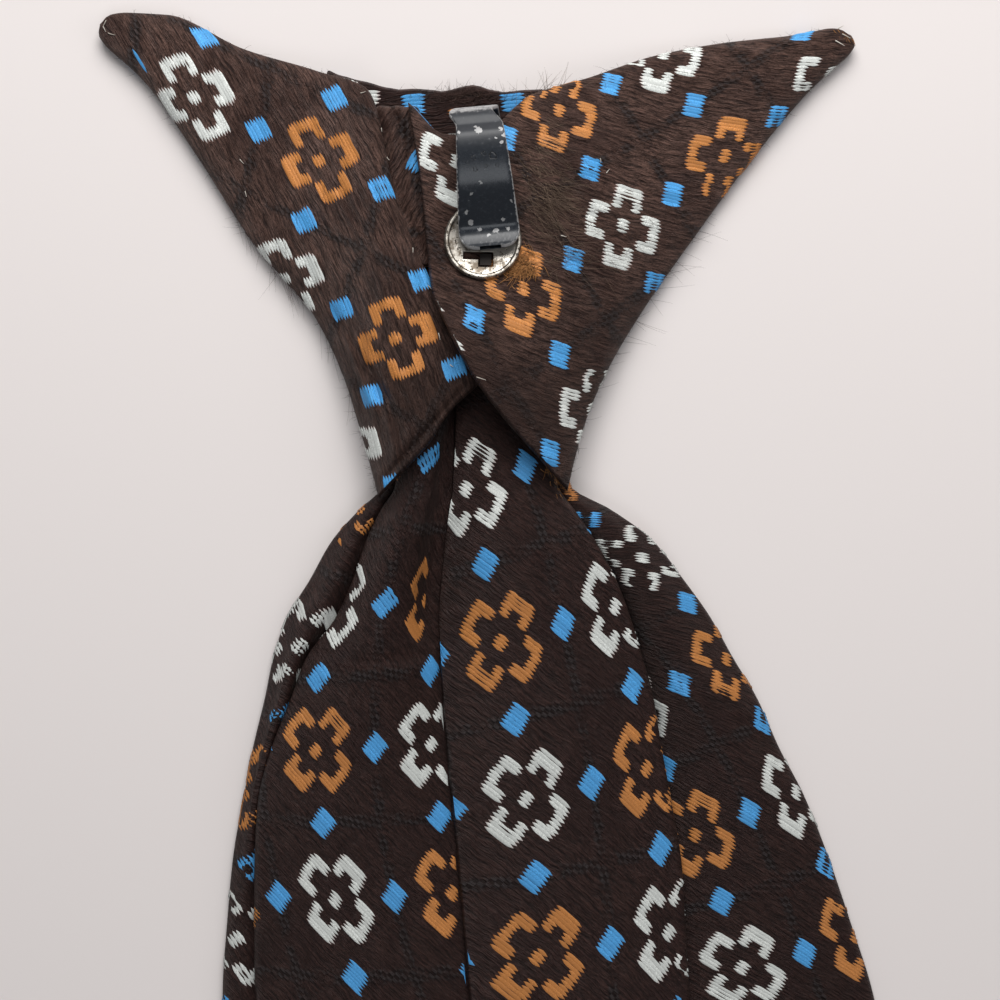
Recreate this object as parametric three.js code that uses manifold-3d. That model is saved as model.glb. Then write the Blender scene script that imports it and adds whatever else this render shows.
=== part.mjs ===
// Clip-on necktie lying face down, seen from the back of its knot.
// Millimetres, +Z up. X runs across the knot and Y runs from the blade's point to the knot.
import * as THREE from 'three';
import * as BufferGeometryUtils from 'three/addons/utils/BufferGeometryUtils.js';
import Module from 'manifold-3d';

// Driving sizes of the whole tie
const WING_SPAN = 122;
const KNOT_HEIGHT = 62;
const BLADE_LENGTH = 405;
const BLADE_WIDTH = 116;
const POINT_DEPTH = 60;
const POINT_BLUNTNESS = 5;
const BLADE_LEAN = THREE.MathUtils.degToRad(7.5);
const LEAN_BEGINS = 85;
const LEAN_ENDS = 200;
const NECK_OFFSET = -0.6;

// Cloth and padding
const CLOTH = 1.0;
const PLY_GAP = 0.35;
const SEAT_GAP = 0.3;
const BLADE_LOFT = 8;
const FACE_WALL = 2.2;
const TUCK_WALL = 1.2;
const WING_PAD = 3.6;
const WING_HEM = 1.7;

// The spring clip
const CLIP_STOCK = 0.7;
const CLIP_LENGTH = 22.2;
const CLIP_WIDTH_TOP = 6.2;
const CLIP_WIDTH_END = 9.6;
const CLIP_END_ROUND = 3.2;
const CLIP_RISE = 5.6;
const CLIP_LEAN = THREE.MathUtils.degToRad(5.2);
const CLIP_LEG = 16.4;
const CLIP_END_X = 1.3;
const CLIP_END_Y = -1.3;
const DISC_DIAMETER = 12.3;
const DISC_THICKNESS = 0.8;
const DISC_RIM_WIDTH = 0.8;
const DISC_RIM_HEIGHT = 0.5;
const DISC_SEGMENTS = 40;
const SLOT_WIDTH = 2.4;
const SLOT_LENGTH = 2.4;
const SLOT_FROM_CENTRE = 3.0;
const SLOT_TO_SIDE = 0.48;
const NOTCH_WIDTH = 2.2;
const NOTCH_LENGTH = 1.2;
const PRONG_CLEARANCE = 0.3;
const PRONG_THICKNESS = 0.5;

// Sizes that follow from the ones above
const HALF_SPAN = WING_SPAN / 2;
const HALF_BLADE = BLADE_WIDTH / 2;
const STEP = CLOTH + PLY_GAP;
const NECK_FLOOR = FACE_WALL + SEAT_GAP;
const NECK_TOP = NECK_FLOOR + CLOTH + 3 * STEP;
const WING_SEAT = NECK_TOP + SEAT_GAP;
const TUCK_TOP = WING_SEAT + TUCK_WALL;

// Folds of the blade. "at" is a share of the blade's length below the knot's waist, and the
// places across are shares of half the blade's width. A folded share of 1 is a pressed pleat
// and 0 is flat cloth, and lift is a share of the height of the neck's floor.
const FOLD_COLUMNS = [
  'at', 'outerLeft', 'leftFold', 'seam', 'rightFold', 'outerRight',
  'leftTuck', 'rightTuck', 'leftFolded', 'rightFolded', 'lift',
];
const FOLD_ROWS = [
  [-0.099, -0.212, -0.178, -0.052, 0.185, 0.23, 0.06, 0.08, 1, 1, 1],
  [-0.03, -0.222, -0.186, -0.052, 0.19, 0.236, 0.06, 0.08, 1, 1, 1],
  [0, -0.253, -0.216, -0.06, 0.215, 0.252, 0.07, 0.09, 1, 1, 1],
  [0.01, -0.329, -0.266, -0.078, 0.255, 0.36, 0.07, 0.1, 1, 1, 0.98],
  [0.022, -0.414, -0.317, -0.1, 0.3, 0.462, 0.09, 0.12, 1, 1, 0.76],
  [0.038, -0.493, -0.371, -0.126, 0.345, 0.536, 0.11, 0.13, 1, 1, 0.36],
  [0.053, -0.571, -0.433, -0.147, 0.371, 0.597, 0.13, 0.14, 1, 1, 0.1],
  [0.069, -0.624, -0.529, -0.157, 0.39, 0.645, 0.14, 0.14, 1, 1, 0],
  [0.085, -0.662, -0.586, -0.164, 0.405, 0.697, 0.14, 0.14, 1, 1, 0],
  [0.105, -0.714, -0.659, -0.171, 0.41, 0.741, 0.14, 0.14, 1, 1, 0],
  [0.124, -0.757, -0.712, -0.176, 0.417, 0.793, 0.14, 0.14, 1, 1, 0],
  [0.148, -0.809, -0.745, -0.181, 0.424, 0.838, 0.14, 0.14, 1, 1, 0],
  [0.176, -0.853, -0.772, -0.19, 0.412, 0.879, 0.14, 0.14, 1, 1, 0],
  [0.203, -0.89, -0.793, -0.198, 0.397, 0.914, 0.14, 0.14, 1, 1, 0],
  [0.26, -0.935, -0.8, -0.2, 0.37, 0.945, 0.11, 0.12, 1, 1, 0],
  [0.32, -0.955, -0.78, -0.2, 0.33, 0.96, 0.05, 0.07, 1, 1, 0],
  [0.365, -0.962, -0.75, -0.2, 0.31, 0.966, -0.01, 0, 1, 1, 0],
  [0.41, -0.968, -0.72, -0.2, 0.295, 0.971, -0.06, -0.05, 0.8, 0.8, 0],
  [0.47, -0.974, -0.69, -0.2, 0.285, 0.977, -0.09, -0.08, 0.35, 0.35, 0],
  [0.53, -0.98, -0.66, -0.2, 0.28, 0.982, -0.12, -0.1, 0, 0, 0],
  [0.852, -1, -0.52, -0.2, 0.28, 1, -0.12, -0.1, 0, 0, 0],
];
// How far each crest and valley of the blade stands above its pressed height, from the left roll
// to the right one, as shares of the blade's loft
const PUFF_COLUMNS = [
  'at', 'rollLeftPuff', 'leftFoldPuff', 'leftPuff', 'valleyPuff', 'seamPuff', 'centrePuff',
  'rightFoldPuff', 'rollRightPuff',
];
const PUFF_ROWS = [
  [-0.099, 0, 0, 0, 0, 0, 0, 0, 0],
  [-0.03, 0, 0, 0, 0, 0, 0, 0, 0],
  [0, 0.05, 0, 0.12, 0.02, 0.05, 0.13, 0.06, 0.12],
  [0.01, 0.14, 0.02, 0.26, 0.02, 0.06, 0.26, 0.14, 0.28],
  [0.022, 0.26, 0.06, 0.4, 0.03, 0.07, 0.38, 0.22, 0.42],
  [0.038, 0.36, 0.09, 0.46, 0.03, 0.09, 0.46, 0.29, 0.54],
  [0.053, 0.41, 0.1, 0.46, 0.05, 0.12, 0.49, 0.32, 0.58],
  [0.069, 0.4, 0.1, 0.42, 0.1, 0.18, 0.47, 0.3, 0.57],
  [0.085, 0.36, 0.1, 0.37, 0.16, 0.23, 0.44, 0.27, 0.52],
  [0.105, 0.28, 0.08, 0.28, 0.22, 0.26, 0.38, 0.22, 0.42],
  [0.124, 0.2, 0.06, 0.2, 0.26, 0.29, 0.32, 0.17, 0.33],
  [0.148, 0.13, 0.05, 0.14, 0.25, 0.28, 0.27, 0.13, 0.25],
  [0.176, 0.08, 0.04, 0.1, 0.24, 0.26, 0.22, 0.09, 0.18],
  [0.203, 0.06, 0.02, 0.07, 0.23, 0.25, 0.19, 0.07, 0.13],
  [0.26, 0.03, 0, 0.03, 0.2, 0.22, 0.14, 0.04, 0.08],
  [0.32, 0.02, 0, 0.02, 0.15, 0.17, 0.1, 0.03, 0.05],
  [0.365, 0.01, 0, 0.01, 0.1, 0.12, 0.06, 0.02, 0.03],
  [0.41, 0, 0, 0, 0.05, 0.07, 0.03, 0, 0.02],
  [0.47, 0, 0, 0, 0.01, 0.03, 0.01, 0, 0.01],
  [0.53, 0, 0, 0, 0, 0.02, 0, 0, 0],
  [0.852, 0, 0, 0, 0, 0.02, 0, 0, 0],
];
const BLADE_STATIONS = 34;
const HEM_UNDER_SEAM = 0.13;

// Wings, from tip to root. x and y are shares of half the span and of the knot's height, and the
// five heights of the underside, from the upper edge to the lower one, are shares of the seat.
const WING_COLUMNS = [
  'upperX', 'upperY', 'lowerX', 'lowerY', 'high0', 'high1', 'high2', 'high3', 'high4', 'pad',
];
const LEFT_WING_ROWS = [
  [-0.97, 1.215, -1.01, 1.185, 0.15, 0.15, 0.15, 0.13, 0.12, 0.35],
  [-0.818, 1.219, -0.91, 1.063, 0.13, 0.12, 0.1, 0.09, 0.08, 0.8],
  [-0.633, 1.142, -0.759, 0.848, 0.17, 0.14, 0.1, 0.08, 0.08, 1],
  [-0.434, 1.076, -0.607, 0.637, 0.55, 0.38, 0.2, 0.12, 0.1, 1],
  [-0.29, 1.011, -0.462, 0.434, 1.16, 0.92, 0.62, 0.38, 0.2, 1],
  [-0.225, 0.765, -0.375, 0.277, 1.22, 1.12, 0.88, 0.62, 0.4, 1],
  [-0.169, 0.61, -0.318, 0.148, 1.2, 1.16, 1.02, 0.8, 0.55, 1],
  [-0.066, 0.415, -0.285, 0.039, 1.06, 1.08, 1.06, 0.96, 0.84, 1],
  [0.013, 0.282, -0.267, -0.026, 1.08, 1.1, 1.1, 1.08, 1.04, 0.9],
];
const RIGHT_WING_ROWS = [
  [0.949, 1.2, 1.007, 1.148, 0.15, 0.15, 0.15, 0.13, 0.12, 0.35],
  [0.83, 1.177, 0.884, 1.04, 0.12, 0.11, 0.1, 0.09, 0.08, 0.8],
  [0.646, 1.156, 0.722, 0.852, 0.17, 0.14, 0.1, 0.08, 0.08, 1],
  [0.461, 1.118, 0.564, 0.642, 0.36, 0.3, 0.2, 0.12, 0.1, 1],
  [0.29, 1.055, 0.434, 0.46, 0.74, 0.72, 0.66, 0.46, 0.2, 1],
  [0.131, 1, 0.34, 0.305, 1.08, 1.05, 1.02, 0.86, 0.45, 1],
  [0, 0.9, 0.284, 0.182, 1.1, 1.1, 1.12, 1.04, 0.66, 1],
  [-0.09, 0.9, 0.251, 0.077, 1.16, 1.2, 1.36, 1.26, 0.9, 1],
  [-0.182, 0.977, 0.23, -0.008, 1.2, 1.22, 1.6, 1.46, 1.06, 0.9],
];
// Free edges of the wings at the V over the blade, from the upper edge to the lower one
const LEFT_ROOT_ROWS = [
  [0.013, 0.282],
  [-0.084, 0.19],
  [-0.131, 0.118],
  [-0.198, 0.045],
  [-0.267, -0.026],
];
const RIGHT_ROOT_ROWS = [
  [-0.182, 0.977],
  [-0.147, 0.76],
  [-0.131, 0.6],
  [-0.116, 0.49],
  [-0.075, 0.395],
  [-0.011, 0.277],
  [0.062, 0.18],
  [0.156, 0.076],
  [0.23, -0.008],
];
const ROOT_REACH = 0.45;
const WING_STATIONS = 22;
const WING_CROSS = 15;

// Front of the knot, from the waist up: shares of the knot's height and of half the span, and
// how far its sides curl off the surface it lies on, as shares of its own wall
const FACE_COLUMNS = ['at', 'left', 'right', 'topCurl', 'sideCurl'];
const FACE_ROWS = [
  [-0.045, -0.24, 0.215, 0, 0.2],
  [0.1, -0.262, 0.24, 0, 0.35],
  [0.35, -0.32, 0.3, 0, 0.5],
  [0.65, -0.37, 0.35, 0, 0.6],
  [0.85, -0.4, 0.375, 0.25, 0.6],
  [0.96, -0.405, 0.385, 0.75, 0.4],
  [1.02, -0.4, 0.38, 1.1, 0.2],
];
const FACE_TOP_SWEEP = 0.055;
const FACE_STATIONS = 14;
const FACE_CROSS = 13;

// The narrow tuck that shows between the wings
const TUCK_COLUMNS = ['at', 'left', 'right'];
const TUCK_ROWS = [
  [0.57, -0.192, -0.078],
  [0.64, -0.212, -0.082],
  [0.8, -0.25, -0.1],
  [0.97, -0.28, -0.14],
];
const TUCK_STATIONS = 8;
const TUCK_CROSS = 6;

// Monotone curve through the rows of a table, so that a fold never overshoots its rows
function tableCurve(places, values) {
  const slopes = places.slice(1).map((p, i) => (values[i + 1] - values[i]) / (p - places[i]));
  const tangents = values.map((_, i) => {
    if (i === 0) return slopes[0];
    if (i === values.length - 1) return slopes[i - 1];
    const before = slopes[i - 1];
    const after = slopes[i];
    return before * after <= 0 ? 0 : (2 * before * after) / (before + after);
  });
  return (at) => {
    const last = places.length - 1;
    const clamped = Math.min(Math.max(at, places[0]), places[last]);
    let i = 0;
    while (i < last - 1 && clamped > places[i + 1]) i += 1;
    const span = places[i + 1] - places[i];
    const t = (clamped - places[i]) / span;
    const rise = values[i + 1] - values[i];
    const bend0 = span * tangents[i] - rise;
    const bend1 = rise - span * tangents[i + 1];
    return values[i] + rise * t + t * (1 - t) * (bend0 * (1 - t) + bend1 * t);
  };
}

// A table as one curve for each named column, along the given places
function tableCurves(columns, rows, places) {
  const curves = columns.map((_, k) => tableCurve(places, rows.map((row) => row[k])));
  return (at) => Object.fromEntries(columns.map((name, k) => [name, curves[k](at)]));
}

const evenPlaces = (rows) => rows.map((_, i) => i / (rows.length - 1));
const mix = (a, b, t) => a + (b - a) * t;
const smooth = (a, b, x) => THREE.MathUtils.smoothstep(x, a, b);
const hump = (x, y, cx, cy, radius) => Math.exp(-((x - cx) ** 2 + (y - cy) ** 2) / radius ** 2);

// One closed solid between an upper and a lower grid of points
function slab(upper, lower) {
  const rows = upper.length;
  const columns = upper[0].length;
  const points = [...upper.flat(), ...lower.flat()];
  const top = (i, j) => i * columns + j;
  const under = (i, j) => rows * columns + i * columns + j;
  const triangles = [];
  const quad = (a, b, c, d) => triangles.push(a, b, c, a, c, d);
  for (let i = 0; i < rows - 1; i += 1) {
    for (let j = 0; j < columns - 1; j += 1) {
      quad(top(i, j), top(i, j + 1), top(i + 1, j + 1), top(i + 1, j));
      quad(under(i, j), under(i + 1, j), under(i + 1, j + 1), under(i, j + 1));
    }
    quad(top(i, 0), top(i + 1, 0), under(i + 1, 0), under(i, 0));
    quad(top(i, columns - 1), under(i, columns - 1), under(i + 1, columns - 1), top(i + 1, columns - 1));
  }
  for (let j = 0; j < columns - 1; j += 1) {
    quad(top(0, j), under(0, j), under(0, j + 1), top(0, j + 1));
    quad(top(rows - 1, j), top(rows - 1, j + 1), under(rows - 1, j + 1), under(rows - 1, j));
  }
  let volume = 0;
  for (let k = 0; k < triangles.length; k += 3) {
    const [a, b, c] = [points[triangles[k]], points[triangles[k + 1]], points[triangles[k + 2]]];
    volume += a.dot(b.clone().cross(c));
  }
  if (volume < 0) triangles.reverse();
  const geometry = new THREE.BufferGeometry().setFromPoints(points);
  geometry.setIndex(triangles);
  geometry.computeVertexNormals();
  return geometry;
}

// Middle line of the blade's cloth across one section, from the seam's free edge round to the
// hidden end under it: centre panel, right fold, right roll, front ply, left roll, left panel
function foldedPath(row, narrowing) {
  const across = (share) => share * HALF_BLADE * narrowing;
  const puff = (share) => share * BLADE_LOFT;
  const turn = 0.5 * STEP;
  const inner = turn * Math.min(1, 2.5 * narrowing);
  const seam = across(row.seam);
  const seamHigh = 2 * STEP + puff(row.seamPuff);
  const crownHigh = (2 + row.rightFolded) * STEP + puff(row.centrePuff);
  const right = across(row.rightFold);
  const rightHigh = (1 + 2 * row.rightFolded) * STEP + puff(row.rightFoldPuff);
  const rightIn = across(row.rightFold - row.rightTuck);
  const rightBend = inner * (2 * smooth(-0.02, 0.02, row.rightTuck) - 1);
  const rightDrop = STEP * Math.min(1, row.rightFolded);
  const rollHigh = STEP + puff(row.rollRightPuff);
  const edgeHigh = STEP + 0.45 * puff(row.rollRightPuff);
  const edge = across(row.outerRight);
  const edgeTurn = Math.min(0.5 * edgeHigh, across(0.12));
  const rollStart = right - (row.rightFolded > 0.99 ? 0.6 * STEP : 0);
  const underFold = Math.max(rollStart, rightIn + inner);
  const left = across(row.leftFold);
  const leftHigh = (1 + 2 * row.leftFolded) * STEP + puff(row.leftFoldPuff);
  const leftIn = across(row.leftFold + row.leftTuck);
  const leftBend = inner * (2 * smooth(-0.02, 0.02, row.leftTuck) - 1);
  const leftDrop = STEP * Math.min(1, row.leftFolded);
  const leftRoll = STEP + puff(row.rollLeftPuff);
  const leftEdgeHigh = STEP + 0.45 * puff(row.rollLeftPuff);
  const leftEdge = across(row.outerLeft);
  const leftEdgeTurn = Math.min(0.5 * leftEdgeHigh, across(0.12));
  const crestHigh = (1 + 2 * row.leftFolded) * STEP + puff(row.leftPuff);
  const valleyHigh = STEP + puff(row.valleyPuff);
  const valley = seam - 0.9 * narrowing;
  const hem = across(row.seam + HEM_UNDER_SEAM);
  const rollAt = (t) => mix(underFold, edge - edgeTurn, t);
  const leftUnder = Math.min(left - SEAT_GAP * narrowing, leftIn - 1.6 * inner);
  const leftRollAt = (t) => mix(leftEdge + leftEdgeTurn, leftUnder, t);
  const panelAt = (t) => mix(left + inner, valley, t);
  const folded = Math.min(1, row.rightFolded);
  return [
    [seam, seamHigh],
    [mix(seam, right, 0.12), mix(seamHigh, crownHigh, 0.6)],
    [mix(seam, right, 0.28), mix(seamHigh, crownHigh, 0.92)],
    [mix(seam, right, 0.48), mix(crownHigh, rightHigh, mix(0.3, 0.02, folded))],
    [mix(seam, right, 0.68), mix(crownHigh, rightHigh, mix(0.65, 0.22, folded))],
    [mix(seam, right, 0.86), mix(crownHigh, rightHigh, mix(0.93, 0.66, folded))],
    [right - inner, rightHigh],
    [right, rightHigh - 0.5 * rightDrop],
    [right - rightBend, rightHigh - rightDrop],
    [rightIn + rightBend, (1 + folded) * STEP],
    [rightIn, (1 + 0.5 * folded) * STEP],
    [rightIn + inner, STEP],
    [rollAt(0.04), STEP + 0.1 * (rollHigh - STEP)],
    [rollAt(0.22), mix(STEP, rollHigh, 0.72)],
    [rollAt(0.48), rollHigh],
    [rollAt(0.76), mix(edgeHigh, rollHigh, 0.75)],
    [rollAt(1), edgeHigh],
    [edge, 0.5 * edgeHigh],
    [edge - edgeTurn, 0],
    [mix(edge, leftEdge, 0.25), 0],
    [mix(edge, leftEdge, 0.5), 0],
    [mix(edge, leftEdge, 0.75), 0],
    [leftEdge + leftEdgeTurn, 0],
    [leftEdge, 0.5 * leftEdgeHigh],
    [leftRollAt(0), leftEdgeHigh],
    [leftRollAt(0.5), leftRoll],
    [leftRollAt(1), mix(STEP, leftRoll, 0.12)],
    [leftIn - inner, STEP],
    [leftIn, (1 + 0.5 * row.leftFolded) * STEP],
    [leftIn - leftBend, (1 + row.leftFolded) * STEP],
    [left + leftBend, leftHigh - leftDrop],
    [left, leftHigh - 0.5 * leftDrop],
    [panelAt(0), leftHigh],
    [panelAt(0.3), mix(leftHigh, crestHigh, 0.75)],
    [panelAt(0.6), crestHigh],
    [panelAt(0.84), mix(crestHigh, valleyHigh, 0.12)],
    [panelAt(1), mix(crestHigh, valleyHigh, 0.9)],
    [seam + 1.2 * narrowing, valleyHigh],
    [hem, mix(STEP, valleyHigh, 0.4)],
  ];
}

// Outer and inner skin of a cloth whose middle line is given, half the cloth to each side
function clothSkins(path) {
  const skins = [[], []];
  path.forEach((point, k) => {
    const before = path[Math.max(k - 1, 0)];
    const after = path[Math.min(k + 1, path.length - 1)];
    const run = Math.hypot(after[0] - before[0], after[1] - before[1]);
    const nx = -(after[1] - before[1]) / run;
    const nz = (after[0] - before[0]) / run;
    skins[0].push([point[0] + 0.5 * CLOTH * nx, point[1] + 0.5 * CLOTH * nz]);
    skins[1].push([point[0] - 0.5 * CLOTH * nx, point[1] - 0.5 * CLOTH * nz]);
  });
  return skins;
}

// Place of a point of the blade: down its leaning middle, then across its own section
function bladePoint(down, across, high) {
  const leaning = Math.max(down, 0) * Math.tan(BLADE_LEAN);
  const angle = BLADE_LEAN * smooth(LEAN_BEGINS, LEAN_ENDS, down);
  const x = NECK_OFFSET + leaning + across * Math.cos(angle);
  const y = -down + across * Math.sin(angle);
  return new THREE.Vector3(x, y, high);
}

function makeBlade() {
  const folds = tableCurves(FOLD_COLUMNS, FOLD_ROWS, FOLD_ROWS.map((row) => row[0]));
  const puffs = tableCurves(PUFF_COLUMNS, PUFF_ROWS, PUFF_ROWS.map((row) => row[0]));
  const first = FOLD_ROWS[0][0];
  const tip = 1 - POINT_BLUNTNESS / BLADE_LENGTH;
  const corner = 1 - POINT_DEPTH / BLADE_LENGTH;
  const stations = [];
  for (let i = 0; i < BLADE_STATIONS; i += 1) {
    const t = i / (BLADE_STATIONS - 1);
    stations.push(mix(first, corner, t ** 1.9 * 0.9 + t * 0.1));
  }
  stations.push(mix(corner, tip, 0.3), mix(corner, tip, 0.65), tip);
  const upper = [];
  const lower = [];
  for (const at of stations) {
    const row = { ...folds(at), ...puffs(at) };
    const narrowing = Math.min(1, (1 - at) * BLADE_LENGTH / POINT_DEPTH);
    const floor = row.lift * NECK_FLOOR + 0.5 * CLOTH;
    const [outer, inner] = clothSkins(foldedPath(row, narrowing));
    const down = at * BLADE_LENGTH;
    upper.push(outer.map(([across, high]) => bladePoint(down, across, floor + high)));
    lower.push(inner.map(([across, high]) => bladePoint(down, across, floor + high)));
  }
  return slab(upper, lower);
}

// A padded wing: a sheet between its two long edges whose root follows the root's own curve
function makeWing(rows, rootRows, seatBumps) {
  const along = tableCurves(WING_COLUMNS, rows, evenPlaces(rows));
  const rootX = tableCurve(evenPlaces(rootRows), rootRows.map((row) => row[0]));
  const rootY = tableCurve(evenPlaces(rootRows), rootRows.map((row) => row[1]));
  const heightPlaces = [0, 0.25, 0.5, 0.75, 1];
  const upper = [];
  const lower = [];
  for (let i = 0; i < WING_STATIONS; i += 1) {
    const t = i / (WING_STATIONS - 1);
    const row = along(t);
    const reach = smooth(ROOT_REACH, 1, t);
    const heights = heightPlaces.map((_, k) => row[`high${k}`]);
    const underside = tableCurve(heightPlaces, heights);
    const upperRow = [];
    const lowerRow = [];
    for (let j = 0; j < WING_CROSS; j += 1) {
      const u = j / (WING_CROSS - 1);
      const straightX = mix(along(1).upperX, along(1).lowerX, u);
      const straightY = mix(along(1).upperY, along(1).lowerY, u);
      const x = HALF_SPAN * (mix(row.upperX, row.lowerX, u) + reach * (rootX(u) - straightX));
      const y = KNOT_HEIGHT * (mix(row.upperY, row.lowerY, u) + reach * (rootY(u) - straightY));
      const seat = WING_SEAT * underside(u);
      const fullness = Math.sqrt(Math.max(0, 1 - (2 * u - 1) ** 4)) * row.pad;
      const pad = mix(WING_HEM, WING_PAD, fullness) + fullness * seatBumps(x, y);
      lowerRow.push(new THREE.Vector3(x, y, seat));
      upperRow.push(new THREE.Vector3(x, y, seat + pad));
    }
    upper.push(upperRow);
    lower.push(lowerRow);
  }
  return slab(upper, lower);
}

// The knot's front: flat where it lies, curling up towards its top and its sides
function makeFace() {
  const curves = tableCurves(FACE_COLUMNS, FACE_ROWS, FACE_ROWS.map((row) => row[0]));
  const first = FACE_ROWS[0][0];
  const last = FACE_ROWS[FACE_ROWS.length - 1][0];
  const upper = [];
  const lower = [];
  for (let i = 0; i < FACE_STATIONS; i += 1) {
    const at = mix(first, last, i / (FACE_STATIONS - 1));
    const row = curves(at);
    const upperRow = [];
    const lowerRow = [];
    for (let j = 0; j < FACE_CROSS; j += 1) {
      const u = j / (FACE_CROSS - 1);
      const side = Math.abs(2 * u - 1);
      const x = HALF_SPAN * mix(row.left, row.right, u);
      const sweep = FACE_TOP_SWEEP * side ** 3 * smooth(0.6, 1, at);
      const y = KNOT_HEIGHT * (at + sweep);
      const curl = FACE_WALL * (row.topCurl * (1 - 0.3 * side) + row.sideCurl * smooth(0.6, 1, side));
      lowerRow.push(new THREE.Vector3(x, y, curl));
      upperRow.push(new THREE.Vector3(x, y, curl + FACE_WALL * (1 - 0.3 * side ** 4)));
    }
    upper.push(upperRow);
    lower.push(lowerRow);
  }
  return slab(upper, lower);
}

function makeTuck() {
  const curves = tableCurves(TUCK_COLUMNS, TUCK_ROWS, TUCK_ROWS.map((row) => row[0]));
  const upper = [];
  const lower = [];
  for (let i = 0; i < TUCK_STATIONS; i += 1) {
    const at = mix(TUCK_ROWS[0][0], TUCK_ROWS[TUCK_ROWS.length - 1][0], i / (TUCK_STATIONS - 1));
    const row = curves(at);
    const place = (j) => mix(row.left, row.right, j / (TUCK_CROSS - 1)) * HALF_SPAN;
    const line = [...Array(TUCK_CROSS).keys()];
    lower.push(line.map((j) => new THREE.Vector3(place(j), at * KNOT_HEIGHT, WING_SEAT)));
    upper.push(line.map((j) => new THREE.Vector3(place(j), at * KNOT_HEIGHT, TUCK_TOP)));
  }
  return slab(upper, lower);
}

// Side line of the spring strip: y up the knot from the disc's middle and z above the disc's rim.
// It runs from the end inside the knot, round the top bend, over the crest and down to the bite.
function stripLine(tuckDrop) {
  const top = CLIP_LENGTH;
  const bend = 0.5 * (CLIP_RISE * 0.75 + tuckDrop);
  const middle = CLIP_RISE * 0.75 - bend;
  const bendCentre = top - 0.62 * bend;
  const points = [[top - CLIP_LEG, -tuckDrop], [top - 0.62 * CLIP_LEG, -tuckDrop]];
  for (let k = 0; k <= 6; k += 1) {
    const angle = -Math.PI / 2 + Math.PI * k / 6;
    points.push([bendCentre + 0.62 * bend * Math.cos(angle), middle + bend * Math.sin(angle)]);
  }
  points.push([0.78 * top, CLIP_RISE], [0.62 * top, 0.97 * CLIP_RISE]);
  points.push([0.45 * top, 0.78 * CLIP_RISE], [0.29 * top, 0.4 * CLIP_RISE]);
  points.push([0.17 * top, 0.09 * CLIP_RISE], [0.1 * top, 0.05 * CLIP_RISE]);
  points.push([0.03 * top, 0.14 * CLIP_RISE], [0, 0.26 * CLIP_RISE]);
  return points.map(([y, z]) => new THREE.Vector3(0, y, z));
}

function makeStrip(tuckDrop) {
  const curve = new THREE.CatmullRomCurve3(stripLine(tuckDrop), false, 'centripetal');
  const stations = 44;
  const cross = 7;
  const length = curve.getLength();
  const upper = [];
  const lower = [];
  for (let i = 0; i <= stations; i += 1) {
    const t = i / stations;
    const point = curve.getPointAt(t);
    const tangent = curve.getTangentAt(t);
    const normal = new THREE.Vector3(0, -tangent.z, tangent.y);
    const fromEnd = (1 - t) * length;
    const missing = Math.max(0, CLIP_END_ROUND - fromEnd);
    const narrowing = CLIP_END_ROUND - Math.sqrt(Math.max(0, CLIP_END_ROUND ** 2 - missing ** 2));
    const down = THREE.MathUtils.clamp(1 - point.y / CLIP_LENGTH, 0, 1);
    const width = mix(CLIP_WIDTH_TOP, CLIP_WIDTH_END, down) - 2 * 0.8 * narrowing;
    const upperRow = [];
    const lowerRow = [];
    for (let j = 0; j < cross; j += 1) {
      const x = width * (j / (cross - 1) - 0.5);
      upperRow.push(new THREE.Vector3(x, point.y, point.z).addScaledVector(normal, 0.5 * CLIP_STOCK));
      lowerRow.push(new THREE.Vector3(x, point.y, point.z).addScaledVector(normal, -0.5 * CLIP_STOCK));
    }
    upper.push(upperRow);
    lower.push(lowerRow);
  }
  return slab(upper, lower);
}

const wasm = await Module();
wasm.setup();

function toSolid(geometry) {
  const bare = geometry.clone();
  bare.deleteAttribute('normal');
  bare.deleteAttribute('uv');
  const merged = BufferGeometryUtils.mergeVertices(bare, 1e-4);
  const vertProperties = new Float32Array(merged.attributes.position.array);
  const triVerts = new Uint32Array(merged.index.array);
  return new wasm.Manifold(new wasm.Mesh({ numProp: 3, vertProperties, triVerts }));
}

function toGeometry(solid) {
  const mesh = solid.getMesh();
  const geometry = new THREE.BufferGeometry();
  geometry.setAttribute('position', new THREE.BufferAttribute(new Float32Array(mesh.vertProperties), 3));
  geometry.setIndex(new THREE.BufferAttribute(new Uint32Array(mesh.triVerts), 1));
  geometry.computeVertexNormals();
  return geometry;
}

function slotBlock(width, length, x, y) {
  const block = new THREE.BoxGeometry(width, length, 4 * DISC_THICKNESS);
  block.translate(x, y, 0.5 * DISC_THICKNESS);
  return toSolid(block);
}

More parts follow.
